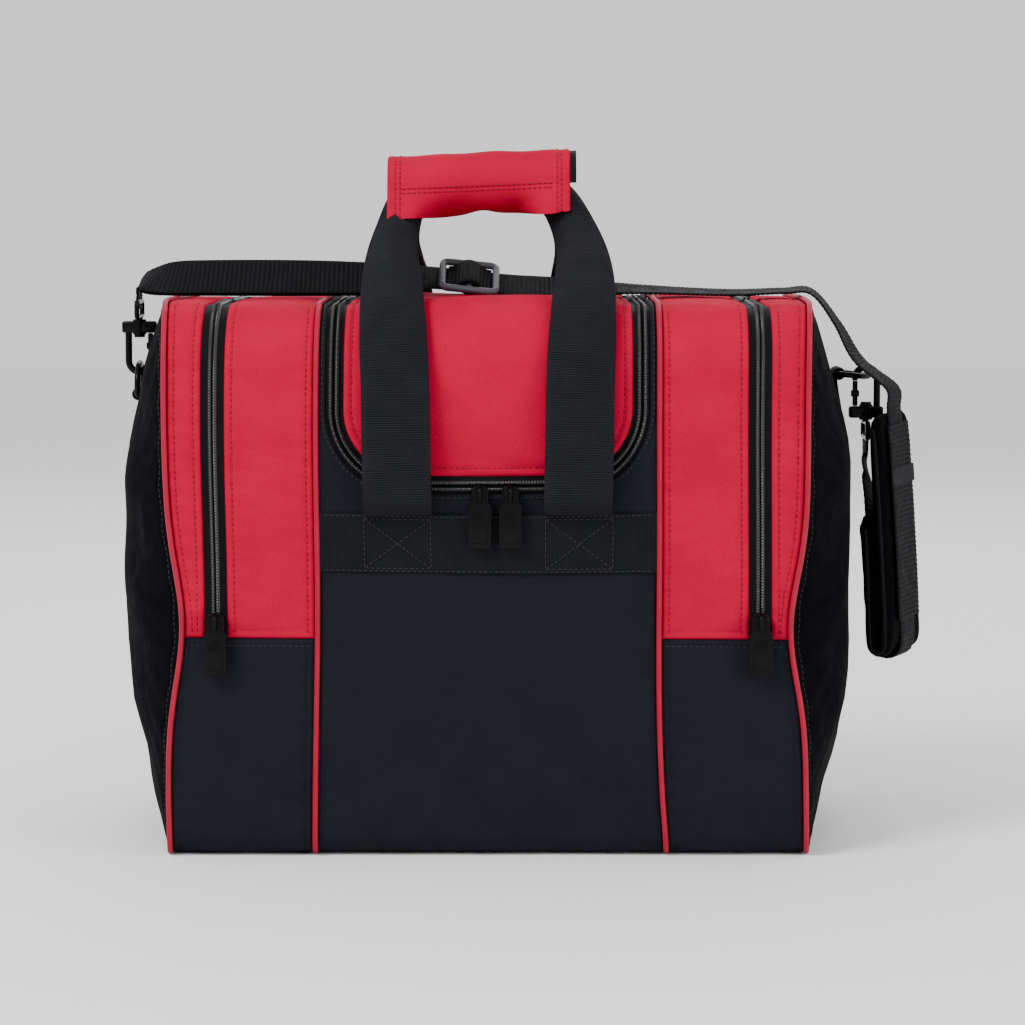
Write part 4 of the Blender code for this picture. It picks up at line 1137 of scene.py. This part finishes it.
def make_grip(label, face):
    steps = np.linspace(-GRIP_HALF, GRIP_HALF, 130)
    angles = np.linspace(radians(1), radians(177), 60)
    outer, inner = [], []
    for dx in steps:
        outer.append([grip_place(dx, a, grip_radius(dx, a), face) for a in angles])
        inner.append([grip_place(dx, a, grip_radius(dx, a) - 2.0, face) for a in angles])
    wrap = grid_solid(f"grip_{label}_wrap", np.array(outer), np.array(inner), steps[:, None],
                      angles[None, :] * GRIP_RADIUS, "red", lined=True)
    mount(wrap, f"{label}_handle", "red_fabric", f"grip_{label}_half")
    sewing = Sewing()
    for dx in (5 - GRIP_HALF, 7.5 - GRIP_HALF, GRIP_HALF - 7.5, GRIP_HALF - 5):
        points = [grip_place(dx, a, grip_radius(dx, a) + 0.15, face) for a in angles]
        sewing.line(points, [(0, face * sin(a), cos(a)) for a in angles], 3.0)
    marks = np.arange(-GRIP_HALF + 8, GRIP_HALF - 8, 2.0)
    for a in (GRIP_SEAM - 0.07, GRIP_SEAM + 0.07):
        points = [grip_place(dx, a, grip_radius(dx, a) + 0.15, face) for dx in marks]
        sewing.line(points, [(0, face * sin(a), cos(a))] * len(marks), 3.0)
    mount(sewing.build(f"grip_{label}_stitches", "red_thread"), f"{label}_handle", "red_fabric")
    if face < 0:
        outer, inner = [], []
        steps = np.linspace(GRIP_HALF - 4, GRIP_HALF + 3.6, 12)
        angles = np.linspace(radians(3), radians(96), 30)
        for dx in steps:
            outer.append([grip_place(dx, a, GRIP_RADIUS - 1.2, face) for a in angles])
            inner.append([grip_place(dx, a, GRIP_RADIUS - 2.6, face) for a in angles])
        tab = grid_solid("grip_hook_strip", np.array(outer), np.array(inner), steps[:, None],
                         angles[None, :] * GRIP_RADIUS, "band")
        mount(tab, "front_handle", "black_fabric")


BAND_RISE = 2.7              # the band's face stands this far out


def make_band(label, face):
    """The band across the ball compartment that the handle is sewn to, with a box of stitches at each leg."""
    width = SEAM_X - 1.0
    columns = np.concatenate([[-width, -width + 0.5], np.arange(-width + 1, width, 0.75),
                              [width - 0.5, width]])
    rows = np.array([0, 0.4, 1.2, 4, 8, 14, 20, 26, 30, 32.8, 33.6, 34])
    outer, inner = [], []
    for row in rows:
        z = BAND_LOW + row
        edge = min(row, 34 - row)
        rise = BAND_RISE - 0.9 * max(1 - edge / 1.2, 0) ** 2
        rise = rise + 0.12 * np.sin(2 * pi * columns / 1.5) - 1.4 * (np.abs(columns) / width) ** 8
        y = face * (HALF + rise)
        outer.append(np.stack([columns, y, np.full_like(columns, z)], -1))
        inner.append(np.stack([columns, np.full_like(columns, face * (HALF - 1.0)),
                               np.full_like(columns, z)], -1))
    band = grid_solid(f"{label}_band", soften(np.array(outer)), soften(np.array(inner)), rows[:, None],
                      columns[None, :], "band")
    mount(band, "bag", "webbing", f"{label}_handle_band")
    sewing = Sewing()
    lift = HALF + BAND_RISE + 0.25
    out = (0, face, 0)
    for sign in (-1, 1):
        near, far = sign * 32.0, sign * 69.0
        low, high = BAND_LOW + 3, BAND_HIGH - 3
        for a, b in (((near, low), (far, low)), ((near, high), (far, high)), ((near, low), (near, high)),
                     ((far, low), (far, high)), ((near, low), (far, high)), ((near, high), (far, low))):
            points = np.linspace((a[0], face * lift, a[1]), (b[0], face * lift, b[1]), 12)
            sewing.line(soften(points), [out] * len(points), 2.9)
    for z in (BAND_LOW + 1.6, BAND_HIGH - 1.6):
        points = np.linspace((-width + 3, face * (lift - 0.1), z), (width - 3, face * (lift - 0.1), z), 80)
        points[:, 1] -= face * 1.4 * (np.abs(points[:, 0]) / width) ** 8
        sewing.line(soften(points), [out] * len(points), 3.0)
    mount(sewing.build(f"{label}_band_stitches", "black_thread"), "bag", "webbing")


# ================================================================ shoulder strap and pad

RING_Y = 24.0
LEFT_RING = (-207.5, RING_Y, 252.0)
RIGHT_RING = (206.5, RING_Y, 264.0)
RIGHT_HOOK_X = RIGHT_RING[0] + 17.0
RIGHT_EYE_Z = 222.5
STRAP_WIDTH = 25.0
STRAP_THICK = 1.7
STRAP_RIB = 2.75             # pitch of the strap's ribs
GLIDE_X = -12.0
GLIDE_Z = 318.4
STRAP_Y = 8.0
GLIDE_PITCH = 30
GLIDE_SLOPE = 0.1
PAD_TURN = radians(24)
PAD_OUT = np.array((cos(PAD_TURN), -sin(PAD_TURN), 0))
PAD_ACROSS = np.array((sin(PAD_TURN), cos(PAD_TURN), 0))
PAD_Y = -4.0
PAD_LINE = ((243, 228.5), (225, 230.5), (205, 232.0), (185, 233.5), (145, 236.0), (112, 237.5))
PAD_FOLD_Z = 104.0
PAD_LEG = 4.4
PAD = 7.5
PAD_INNER_TOP = 3


def pitched(degrees):
    return (0, cos(radians(degrees)), sin(radians(degrees)))


def glide_z(x):
    return GLIDE_Z - (x - GLIDE_X) * GLIDE_SLOPE


def pad_centre(z):
    x = np.interp(z, [row[0] for row in PAD_LINE[::-1]], [row[1] for row in PAD_LINE[::-1]])
    return np.array((x, PAD_Y, z))


def pad_path(offset):
    """Down the pad's outer layer, round its fold and up its inner layer, outside the middle line."""
    leg = PAD_LEG + offset
    path = [pad_centre(z) + PAD_OUT * leg for z, _ in PAD_LINE]
    for degrees in (30, 60, 90, 120, 150):
        angle = radians(degrees)
        drop = np.array((0, 0, -leg * sin(angle)))
        path.append(pad_centre(PAD_FOLD_Z + 4) + PAD_OUT * (leg * cos(angle)) + drop)
    path += [pad_centre(z) - PAD_OUT * leg for z, _ in PAD_LINE[::-1]][:PAD_INNER_TOP]
    return path


def strap_strip(name, stations, step=0.5, width=STRAP_WIDTH):
    return strip(name, stations, width, STRAP_THICK, "strap", STRAP_RIB, step)


def blend_strap(piece):
    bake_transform(piece)


def make_strap():
    left = [
        ((LEFT_RING[0], RING_Y, LEFT_RING[2] + 50.0), (0, 1, 0), 0),
        ((LEFT_RING[0], RING_Y, LEFT_RING[2] + 57.0), (0, 1, 0), 0),
        ((-207, 24.5, 316), (0, 1, 0.2), 0.1),
        ((-202, 22, 319.5), pitched(25), 0.15),
        ((-188, 16, 320.7), pitched(45), 0.2),
        ((-165, 12, 321.2), pitched(50), 0.2),
        ((-110, STRAP_Y, 321.2), pitched(50), 0.2),
        ((-60, STRAP_Y, 320.6), pitched(42), 0.1),
        ((-36, STRAP_Y, glide_z(-36)), pitched(GLIDE_PITCH), 0),
        ((GLIDE_X - 6, STRAP_Y, glide_z(GLIDE_X - 6)), pitched(GLIDE_PITCH), 0),
        ((GLIDE_X + 1, STRAP_Y + 0.8, glide_z(GLIDE_X + 1) - STRAP_THICK), pitched(GLIDE_PITCH), 0),
        ((GLIDE_X + 14, STRAP_Y + 0.8, glide_z(GLIDE_X + 14) - STRAP_THICK), pitched(GLIDE_PITCH), 0),
    ]
    run = strap_strip("strap_left", left)
    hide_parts("shoulder_strap_left_run")
    blend_strap(run)
    under = [((x, y + 2.4, z - 1.6), across, curl) for (x, y, z), across, curl in left[3:9]]
    tail = strap_strip("strap_left_under", under)
    blend_strap(tail)

    pad_run = pad_path(PAD / 2 + 0.9)
    rise = pad_run[0] - pad_run[1]
    rise /= np.linalg.norm(rise)
    across = tuple(PAD_ACROSS)
    right = [
        ((GLIDE_X - 1, STRAP_Y, glide_z(GLIDE_X - 1)), pitched(GLIDE_PITCH), 0),
        ((12, STRAP_Y, glide_z(12)), pitched(GLIDE_PITCH), 0),
        ((40, STRAP_Y, 315.4), pitched(24), 0.1),
        ((90, 7, 313.8), pitched(10), 0.2),
        ((140, 6, 312.0), pitched(6), 0.2),
        ((172, 4, 313.0), pitched(5), 0.2),
        ((189, 2, 312.4), (0.1, 1, 0.1), 0.2),
        ((204, 1, 294.0), (0.25, 1, 0.0), 0.2),
        ((216, -6, 273.0), (0.35, 0.95, 0.0), 0.1),
        (tuple(pad_run[0] + rise * 14.0), across, 0),
        (tuple(pad_run[0] + rise * 2.0), across, 0),
    ]
    run = strap_strip("strap_right", right)
    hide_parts("shoulder_strap_right_run")
    blend_strap(run)

    last = [(tuple(pad_run[0] + rise * 2.0), across, 0)]
    last += [(tuple(point), across, 0) for point in pad_run]
    eye = np.array((RIGHT_HOOK_X, RING_Y, RIGHT_EYE_Z))
    last.append((tuple(pad_run[-1] * 0.55 + eye * 0.45 + np.array((0, 0, -2))), (0.2, 0.98, 0), 0.1))
    last.append((tuple(eye + np.array((0, -0.5, -12))), (0.05, 1, 0), 0))
    last.append((tuple(eye), (0, 1, 0), 0))
    last.append((tuple(eye + np.array((0, 0, 6))), (0, 1, 0), 0))
    run = strap_strip("strap_pad_run", last, 0.6)
    mount(run, "bag", "webbing", "shoulder_strap_pad_run")


def apply_modifiers(obj):
    shown = obj.evaluated_get(bpy.context.evaluated_depsgraph_get())
    mesh = bpy.data.meshes.new_from_object(shown)
    obj.modifiers.clear()
    obj.data = mesh


def mesh_points(mesh):
    points = np.empty(len(mesh.vertices) * 3)
    mesh.vertices.foreach_get("co", points)
    return points.reshape(-1, 3)


def puff(obj, voxel, cap):
    """Swell a padded piece with a cloth simulation, and keep the result in its mesh."""
    remesh = obj.modifiers.new("remesh", "REMESH")
    remesh.mode = "VOXEL"
    remesh.voxel_size = voxel
    apply_modifiers(obj)
    before = mesh_points(obj.data)
    after = before
    cloth = obj.modifiers.new("cloth", "CLOTH")
    cloth.settings.use_pressure = True
    cloth.settings.uniform_pressure_force = 4.0
    cloth.settings.quality = 5
    cloth.settings.effector_weights.gravity = 0.0
    cloth.collision_settings.use_collision = False
    scene = bpy.context.scene
    for number in range(1, 21):
        scene.frame_set(number)
    shown = obj.evaluated_get(bpy.context.evaluated_depsgraph_get())
    after = mesh_points(shown.to_mesh())
    shown.to_mesh_clear()
    obj.modifiers.clear()
    scene.frame_set(1)
    move = after - before
    length = np.linalg.norm(move, axis=1, keepdims=True)
    move *= np.minimum(1, cap / np.maximum(length, 1e-9))
    obj.data.vertices.foreach_set("co", (before + move).ravel())
    smooth = obj.modifiers.new("smooth", "SUBSURF")
    smooth.levels = smooth.render_levels = 1
    apply_modifiers(obj)
    obj.data.shade_smooth()
    return obj


def rounded_section(half_width, half_thick, round_off, count=4):
    """Corners of a rounded rectangle, going round it."""
    points = []
    for sx, sy, start in ((1, 1, 0), (-1, 1, 90), (-1, -1, 180), (1, -1, 270)):
        for k in range(count):
            angle = radians(start + 90 * k / (count - 1))
            points.append((sx * (half_width - round_off) + round_off * cos(angle),
                           sy * (half_thick - round_off) + round_off * sin(angle)))
    return points


def section_sweep(name, path, across, sections, finish, sharp=40):
    """Loft closed sections, each a list of (across, out) offsets, along a path."""
    path = np.array(path)
    ahead = np.gradient(path, axis=0)
    ahead /= np.linalg.norm(ahead, axis=1, keepdims=True)
    across = np.array(across) - ahead * (ahead @ np.array(across))[:, None]
    across /= np.linalg.norm(across, axis=1, keepdims=True)
    out = np.cross(across, ahead)
    points = []
    count = len(sections[0])
    for centre, a, n, section in zip(path, across, out, sections):
        points += [centre + a * u + n * v for u, v in section]
    return place_mesh(name, points, ring_faces(len(path), count), finish, np.array(points), sharp=sharp)


def make_pad():
    path, _ = even(catmull(pad_path(0), 8), 3.0)
    total = len(path)
    sections = []
    for i in range(total):
        end = min(i, total - 1 - i) * 3.0
        width = 30.0 - 8.0 * max(1 - end / 9.0, 0) ** 2
        thick = 3.4 - 1.6 * max(1 - end / 7.0, 0) ** 2
        sections.append(rounded_section(width, thick, min(thick * 0.9, 2.8)))
    pad = section_sweep("pad", path, PAD_ACROSS, sections, "pad")
    puff(pad, 0.0024, 0.0009)
    mount(pad, "bag", "pad_foam", "shoulder_pad")

    # a bound edge along the pad's front and back
    for label, side in (("front", -1), ("back", 1)):
        edge = [p + PAD_ACROSS * side * 29.0 for p in path[3:-3]]
        points, faces, cloth = tube_mesh(edge, 1.5, 8, flat=PAD_ACROSS)
        mount(place_mesh(f"pad_binding_{label}", points, faces, "tape", cloth, sharp=70), "bag", "webbing")

    # ribbed webbing panels on the face, either side of a keeper
    outer = PAD / 2 + 2.2
    for name, high, low, lift, finish, wide, relief in (
            ("pad_rib_top", 236.0, 211.0, 0.0, "strap", 38.0, 0.3),
            ("pad_rib_low", 201.0, 122.0, 0.0, "strap", 38.0, 0.3),
            ("pad_keeper", 211.0, 201.0, 0.7, "webbing", 42.0, 0.05)):
        stations = []
        for z in np.linspace(high, low, 7):
            centre = pad_centre(z) + PAD_OUT * (PAD_LEG + outer + lift)
            stations.append((tuple(centre), tuple(PAD_ACROSS), 0.12))
        mount(strip(name, stations, wide, 2.0, finish, STRAP_RIB, 0.5, relief=relief), "bag", "webbing")


def make_tri_glide():
    """A three-bar buckle with the webbing humped over its middle bar."""
    across = np.array(pitched(GLIDE_PITCH))
    along = np.array((1, 0, -GLIDE_SLOPE))
    along /= np.linalg.norm(along)
    normal = np.cross(along, across)
    centre = np.array((GLIDE_X, STRAP_Y, GLIDE_Z)) + normal * 3.4
    half_x, half_w = 17.5, 16.5
    loop = []
    for sx, sw, start in ((1, 1, 0), (-1, 1, 90), (-1, -1, 180), (1, -1, 270)):
        for k in range(6):
            angle = radians(start + 18 * k)
            loop.append(centre + along * (sx * (half_x - 5) + 3.2 * cos(angle))
                        + across * (sw * (half_w - 5) + 3.2 * sin(angle)))
    points, faces, cloth = tube_mesh(loop, 2.1, 12, closed=True, flat=normal)
    bar = [centre + across * w for w in np.linspace(-half_w + 3, half_w - 3, 6)]
    more, extra, cloth_more = tube_mesh(bar, 1.8, 12, flat=normal)
    faces = faces + [[v + len(points) for v in face] for face in extra]
    frame_piece = place_mesh("strap_glide", np.concatenate([points, more]), faces, "plastic",
                             np.concatenate([cloth, cloth_more]), sharp=60)
    mount(frame_piece, "strap_adjuster", "gray_plastic", "tri_glide")
    hump = []
    for u, h in ((-12.5, -1.6), (-8.5, -0.8), (-5, 2.2), (-2, 4.0),
                 (2, 4.0), (5, 2.2), (8.5, -0.8), (12.5, -1.6)):
        hump.append((tuple(centre + along * u + normal * h), tuple(across), 0))
    piece = strap_strip("strap_hump", hump, width=STRAP_WIDTH - 1)
    mount(piece, "strap_adjuster", "webbing")


# ================================================================ hardware

def rounded_box(low, high, bevel):
    """Points and faces of a box with rounded edges, in millimetres."""
    work = bmesh.new()
    bmesh.ops.create_cube(work, size=1.0)
    low, high = Vector(low), Vector(high)
    for vertex in work.verts:
        vertex.co = Vector((low[i] + (high[i] - low[i]) * (vertex.co[i] + 0.5) for i in range(3)))
    bmesh.ops.bevel(work, geom=list(work.edges), offset=bevel, segments=3, profile=0.5, affect="EDGES")
    points = [tuple(v.co) for v in work.verts]
    faces = [[v.index for v in face.verts] for face in work.faces]
    work.free()
    return points, faces


def plate(outline, y0, y1, bevel):
    """A flat piece from an outline of (x, z), with rounded edges."""
    work = bmesh.new()
    ring = [work.verts.new((x, y0, z)) for x, z in outline]
    face = work.faces.new(ring)
    made = bmesh.ops.extrude_face_region(work, geom=[face])
    for item in made["geom"]:
        if isinstance(item, bmesh.types.BMVert):
            item.co.y = y1
    bmesh.ops.recalc_face_normals(work, faces=work.faces)
    bmesh.ops.bevel(work, geom=list(work.edges), offset=bevel, segments=3, profile=0.5, affect="EDGES",
                    clamp_overlap=True)
    work.verts.index_update()
    points = [tuple(v.co) for v in work.verts]
    faces = [[v.index for v in f.verts] for f in work.faces]
    work.free()
    return points, faces


def join_parts(name, parts, finish, sharp=35):
    """One mesh from several closed shapes."""
    points, faces = [], []
    for some, their in parts:
        offset = len(points)
        points += [tuple(p) for p in some]
        faces += [[v + offset for v in face] for face in their]
    return place_mesh(name, points, faces, finish, np.array(points), sharp=sharp)


def round_bar(path, radius, flat=(0, 1, 0), closed=False, around=14):
    points, faces, _ = tube_mesh(path, radius, around, closed, flat)
    return points, faces


def make_slider(prefix, x, z, face_y):
    """A zip slider with a bridge, and a long pull with rounded shoulders that hangs from it."""
    pin_y = face_y - 5.6
    shield = [(x - 3.0, z - 10), (x + 3.0, z - 10), (x + 5.0, z - 6.5), (x + 5.0, z + 1.0),
              (x + 3.4, z + 4.0), (x - 3.4, z + 4.0), (x - 5.0, z + 1.0), (x - 5.0, z - 6.5)]
    bridge = [(x, face_y - 2.0, z - 7.0), (x, face_y - 4.6, z - 6.0), (x, pin_y - 1.4, z - 3.0),
              (x, pin_y - 2.0, z), (x, pin_y - 1.2, z + 2.2), (x, face_y - 3.4, z + 3.4),
              (x, face_y - 2.0, z + 3.4)]
    bridge = catmull(np.array(bridge), 5)
    parts = [plate(shield, face_y - 2.8, face_y + 1.2, 0.7), round_bar(bridge, 1.25, flat=(1, 0, 0))]
    body = join_parts(f"{prefix}_slider_body", parts, "metal")
    mount(body, f"{prefix}_runner", "black_metal", f"{prefix}_slider")

    top, low, half = z + 2.2, z - 31.0, 6.5
    outline = [(x - 3.6, top), (x + 3.6, top), (x + 4.4, top - 1.5), (x + 4.6, z - 4.5), (x + half, z - 8)]
    for side, turns in ((1, (0, -30, -60, -90)), (-1, (-90, -120, -150, -180))):
        outline += [(x + side * (half - 3) + 3 * cos(a), low + 3 + 3 * sin(a)) for a in np.radians(turns)]
    outline += [(x - half, z - 8), (x - 4.6, z - 4.5), (x - 4.4, top - 1.5)]
    near = half - 2.2
    ridge = [(x - near, z - 11), (x + near, z - 11), (x + near, low + 3.4), (x - near, low + 3.4)]
    parts = [plate(outline, pin_y - 1.0, pin_y + 0.8, 0.5), plate(ridge, pin_y - 1.7, pin_y, 0.6)]
    pull = join_parts(f"{prefix}_pull_tab", parts, "metal")
    mount(pull, f"{prefix}_tab", "black_metal", f"{prefix}_pull")


def make_ring(side, bar, lift):
    """A D-ring. bar is the middle of its straight side, and lift points to its far side."""
    wire, inside = 1.75, 27.5
    half = inside / 2 + wire
    centre = np.array(bar)
    lift = np.array(lift, float)
    lift /= np.linalg.norm(lift)
    path = [centre + np.array((0, y, 0)) for y in np.linspace(-half + 2.0, half - 2.0, 8)]
    path += [centre + np.array((0, half - 0.6, 0)) + lift * 0.6, centre + np.array((0, half, 0)) + lift * 2.2]
    for angle in np.radians(np.linspace(0, 180, 25)):
        path.append(centre + np.array((0, half * cos(angle), 0)) + lift * (6 + 12 * sin(angle)))
    path += [centre + np.array((0, -half, 0)) + lift * 2.2,
             centre + np.array((0, -half + 0.6, 0)) + lift * 0.6]
    flat = np.cross(lift, (0, 1, 0))
    ring = join_parts(f"{side}_d_ring_bar", [round_bar(path, wire, flat, closed=True)], "metal", sharp=60)
    mount(ring, f"{side}_d_ring", "black_metal", f"{side}_ring")


def make_tab(side, sign, bar):
    """Webbing sewn to the side panel and turned round the ring's bar."""
    x, y, z = abs(bar[0]), bar[1], bar[2]
    path = []
    radius = 2.25 + 0.8
    low = z - 26
    path.append((sign * (side_x(y, low, sign) + 1.0), y, low))
    path.append((sign * (side_x(y, z - 12, sign) + 1.0), y, z - 12))
    path.append((sign * (x - radius + 0.4), y, z - 3.5))
    for angle in np.radians((180, 135, 90, 45, 0, -45, -90, -125)):
        path.append((sign * (x + radius * cos(angle)), y, z + radius * sin(angle)))
    path.append((sign * (side_x(y, z - 12, sign) + 3.2), y, z - 12))
    path.append((sign * (side_x(y, low, sign) + 2.8), y, low))
    stations = [(p, (0, 1, 0), 0) for p in path]
    tab = strip(f"{side}_tab_loop", stations, 24.0, 1.6, "webbing", 1.3, 0.4, relief=0.12)
    mount(tab, "bag", "webbing", f"{side}_ring_tab")


def make_hook(side, x, bend_z, up):
    centre = np.array((x, RING_Y, bend_z))
    rise = np.array((0, 0, up))
    inner_side = -1 if x > 0 else 1
    back = np.array((-inner_side, 0, 0))
    half, length = 6.5, 24.0
    path = [centre + back * half + rise * h for h in (length, length - 5, length - 10, length - 14)]
    for angle in np.radians(np.linspace(0, 180, 17)):
        path.append(centre + back * (half * cos(angle)) + rise * (half - half * sin(angle)))
    path.append(centre - back * half + rise * (half + 1.5))
    swivel_z = bend_z + up * (length + 3.5)
    body_z = bend_z + up * length
    z0, z1 = sorted((body_z - up * 0.8, body_z + up * 6.2))
    radius = np.concatenate([np.full(len(path) - 3, 2.05), (2.0, 1.9, 1.6)])
    points, faces, _ = tube_mesh(path, radius, 14)
    parts = [(points, faces), rounded_box((x - 10.2, RING_Y - 3.6, z0), (x + 10.2, RING_Y + 3.6, z1), 1.4)]
    parts.append(round_bar([(x, RING_Y, z0 - 1.0), (x, RING_Y, z1 + 1.0)], 4.0, flat=(0, 1, 0), around=20))
    hook = join_parts(f"{side}_hook_body", parts, "metal", sharp=40)
    mount(hook, f"{side}_snap_hook", "black_metal", f"{side}_hook")

    pivot = centre - back * half + rise * (length - 3.4)
    low = centre - back * half + rise * (half + 1.7)
    z0, z1 = sorted((low[2], pivot[2] + up * 2.4))
    thumb_z = (z0 + z1) / 2
    parts = []
    for wide, deep, low_z, high_z, bevel in ((1.5, 1.9, z0, z1, 0.7),
                                             (2.4, 2.4, thumb_z - 2, thumb_z + 2, 0.8)):
        parts.append(rounded_box((pivot[0] - wide, RING_Y - deep, low_z),
                                 (pivot[0] + wide, RING_Y + deep, high_z), bevel))
    gate = join_parts(f"{side}_gate_lever", parts, "metal", sharp=40)
    mount(gate, f"{side}_hook_gate", "black_metal", f"{side}_gate")

    wire, half_y, tall = 1.5, 14.6, 9.0
    base = body_z + up * (6.2 + 1.0 + wire)
    loop = [(0, 0), (6, 0), (half_y - 2, 0), (half_y - 0.6, 0.6), (half_y, 2), (half_y, tall - 2),
            (half_y - 0.6, tall - 0.6), (half_y - 2, tall), (6, tall), (0, tall)]
    loop += [(-y, r) for y, r in loop[::-1] if y > 0]
    path = [(x, RING_Y + y, base + up * r) for y, r in loop]
    parts = [round_bar(path, wire, flat=(1, 0, 0), closed=True),
             round_bar([(x, RING_Y, body_z), (x, RING_Y, base)], 1.9),
             round_bar([(x, RING_Y, body_z - up * 3.4), (x, RING_Y, body_z - up * 2.2),
                        (x, RING_Y, body_z - up * 1.2)], 3.2, around=18)]
    eye = join_parts(f"{side}_swivel_loop", parts, "metal", sharp=60)
    mount(eye, "bag", "black_metal", f"{side}_swivel_eye")


def make_hardware():
    main_x = (-4.5, 12.5)
    for prefix, x, z, proud in (("main_left", main_x[0], MAIN_SLIDER_Z, 1.5),
                                ("main_right", main_x[1], MAIN_SLIDER_Z, 1.5),
                                ("left_pocket", -ZIP_X, POCKET_SLIDER_Z, 1.4),
                                ("right_pocket", ZIP_X, POCKET_SLIDER_Z, 1.4)):
        make_slider(prefix, x, z, -HALF - proud)
    make_ring("left", LEFT_RING, (0, 0, 1))
    make_ring("right", RIGHT_RING, (1, 0, -0.1))
    make_tab("left", -1, LEFT_RING)
    make_tab("right", 1, RIGHT_RING)
    clearance = 5.35             # between the middle lines of a ring's far side and its hook's bend
    make_hook("left", LEFT_RING[0], LEFT_RING[2] + 18 - clearance, 1)
    make_hook("right", RIGHT_HOOK_X, RIGHT_RING[2] - 1.8 + clearance, -1)


# ================================================================ inside

def make_inside():
    """The foam ring that the ball sits in, and the lined boards."""
    around = 72
    section = rounded_section(12.0, 13.5, 9.0, 7)
    angles = 2 * pi * np.arange(around) / around
    points = []
    for a in angles:
        for r, h in section:
            radius = 62.5 + r - 0.16 * (h + 13.5) * (r > 0)
            points.append((radius * cos(a), radius * sin(a), 24.3 + h * 1.12))
    faces = ring_faces(around, len(section), closed=True)
    ring = place_mesh("ball_cushion", points, faces, "pad", np.array(points), sharp=60)
    puff(ring, 0.005, 0.002)
    mount(ring, "bag", "pad_foam", "ball_ring")
    for node in ("base_board", "left_divider", "right_divider"):
        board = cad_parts[node]
        board.data.materials.clear()
        board.data.materials.append(LOOKS["liner"])


# ================================================================ all of it

make_camera()
make_studio()
LOOKS = make_materials()
red_sewing, black_sewing = Sewing(), Sewing()
make_body_panels(red_sewing, black_sewing)
make_piping()
make_seam_tapes()
make_side_panels(black_sewing)
make_pocket_zips()
make_lid()
make_hinge_tape()
make_zip_surround(black_sewing)
mount(red_sewing.build("red_stitches", "red_thread"), "bag", "red_fabric")
mount(black_sewing.build("black_stitches", "black_thread"), "bag", "black_fabric")
for label, face in (("front", -1), ("rear", 1)):
    make_handle(label, face)
    make_grip(label, face)
    make_band(label, face)
make_strap()
make_pad()
make_tri_glide()
make_hardware()
make_inside()
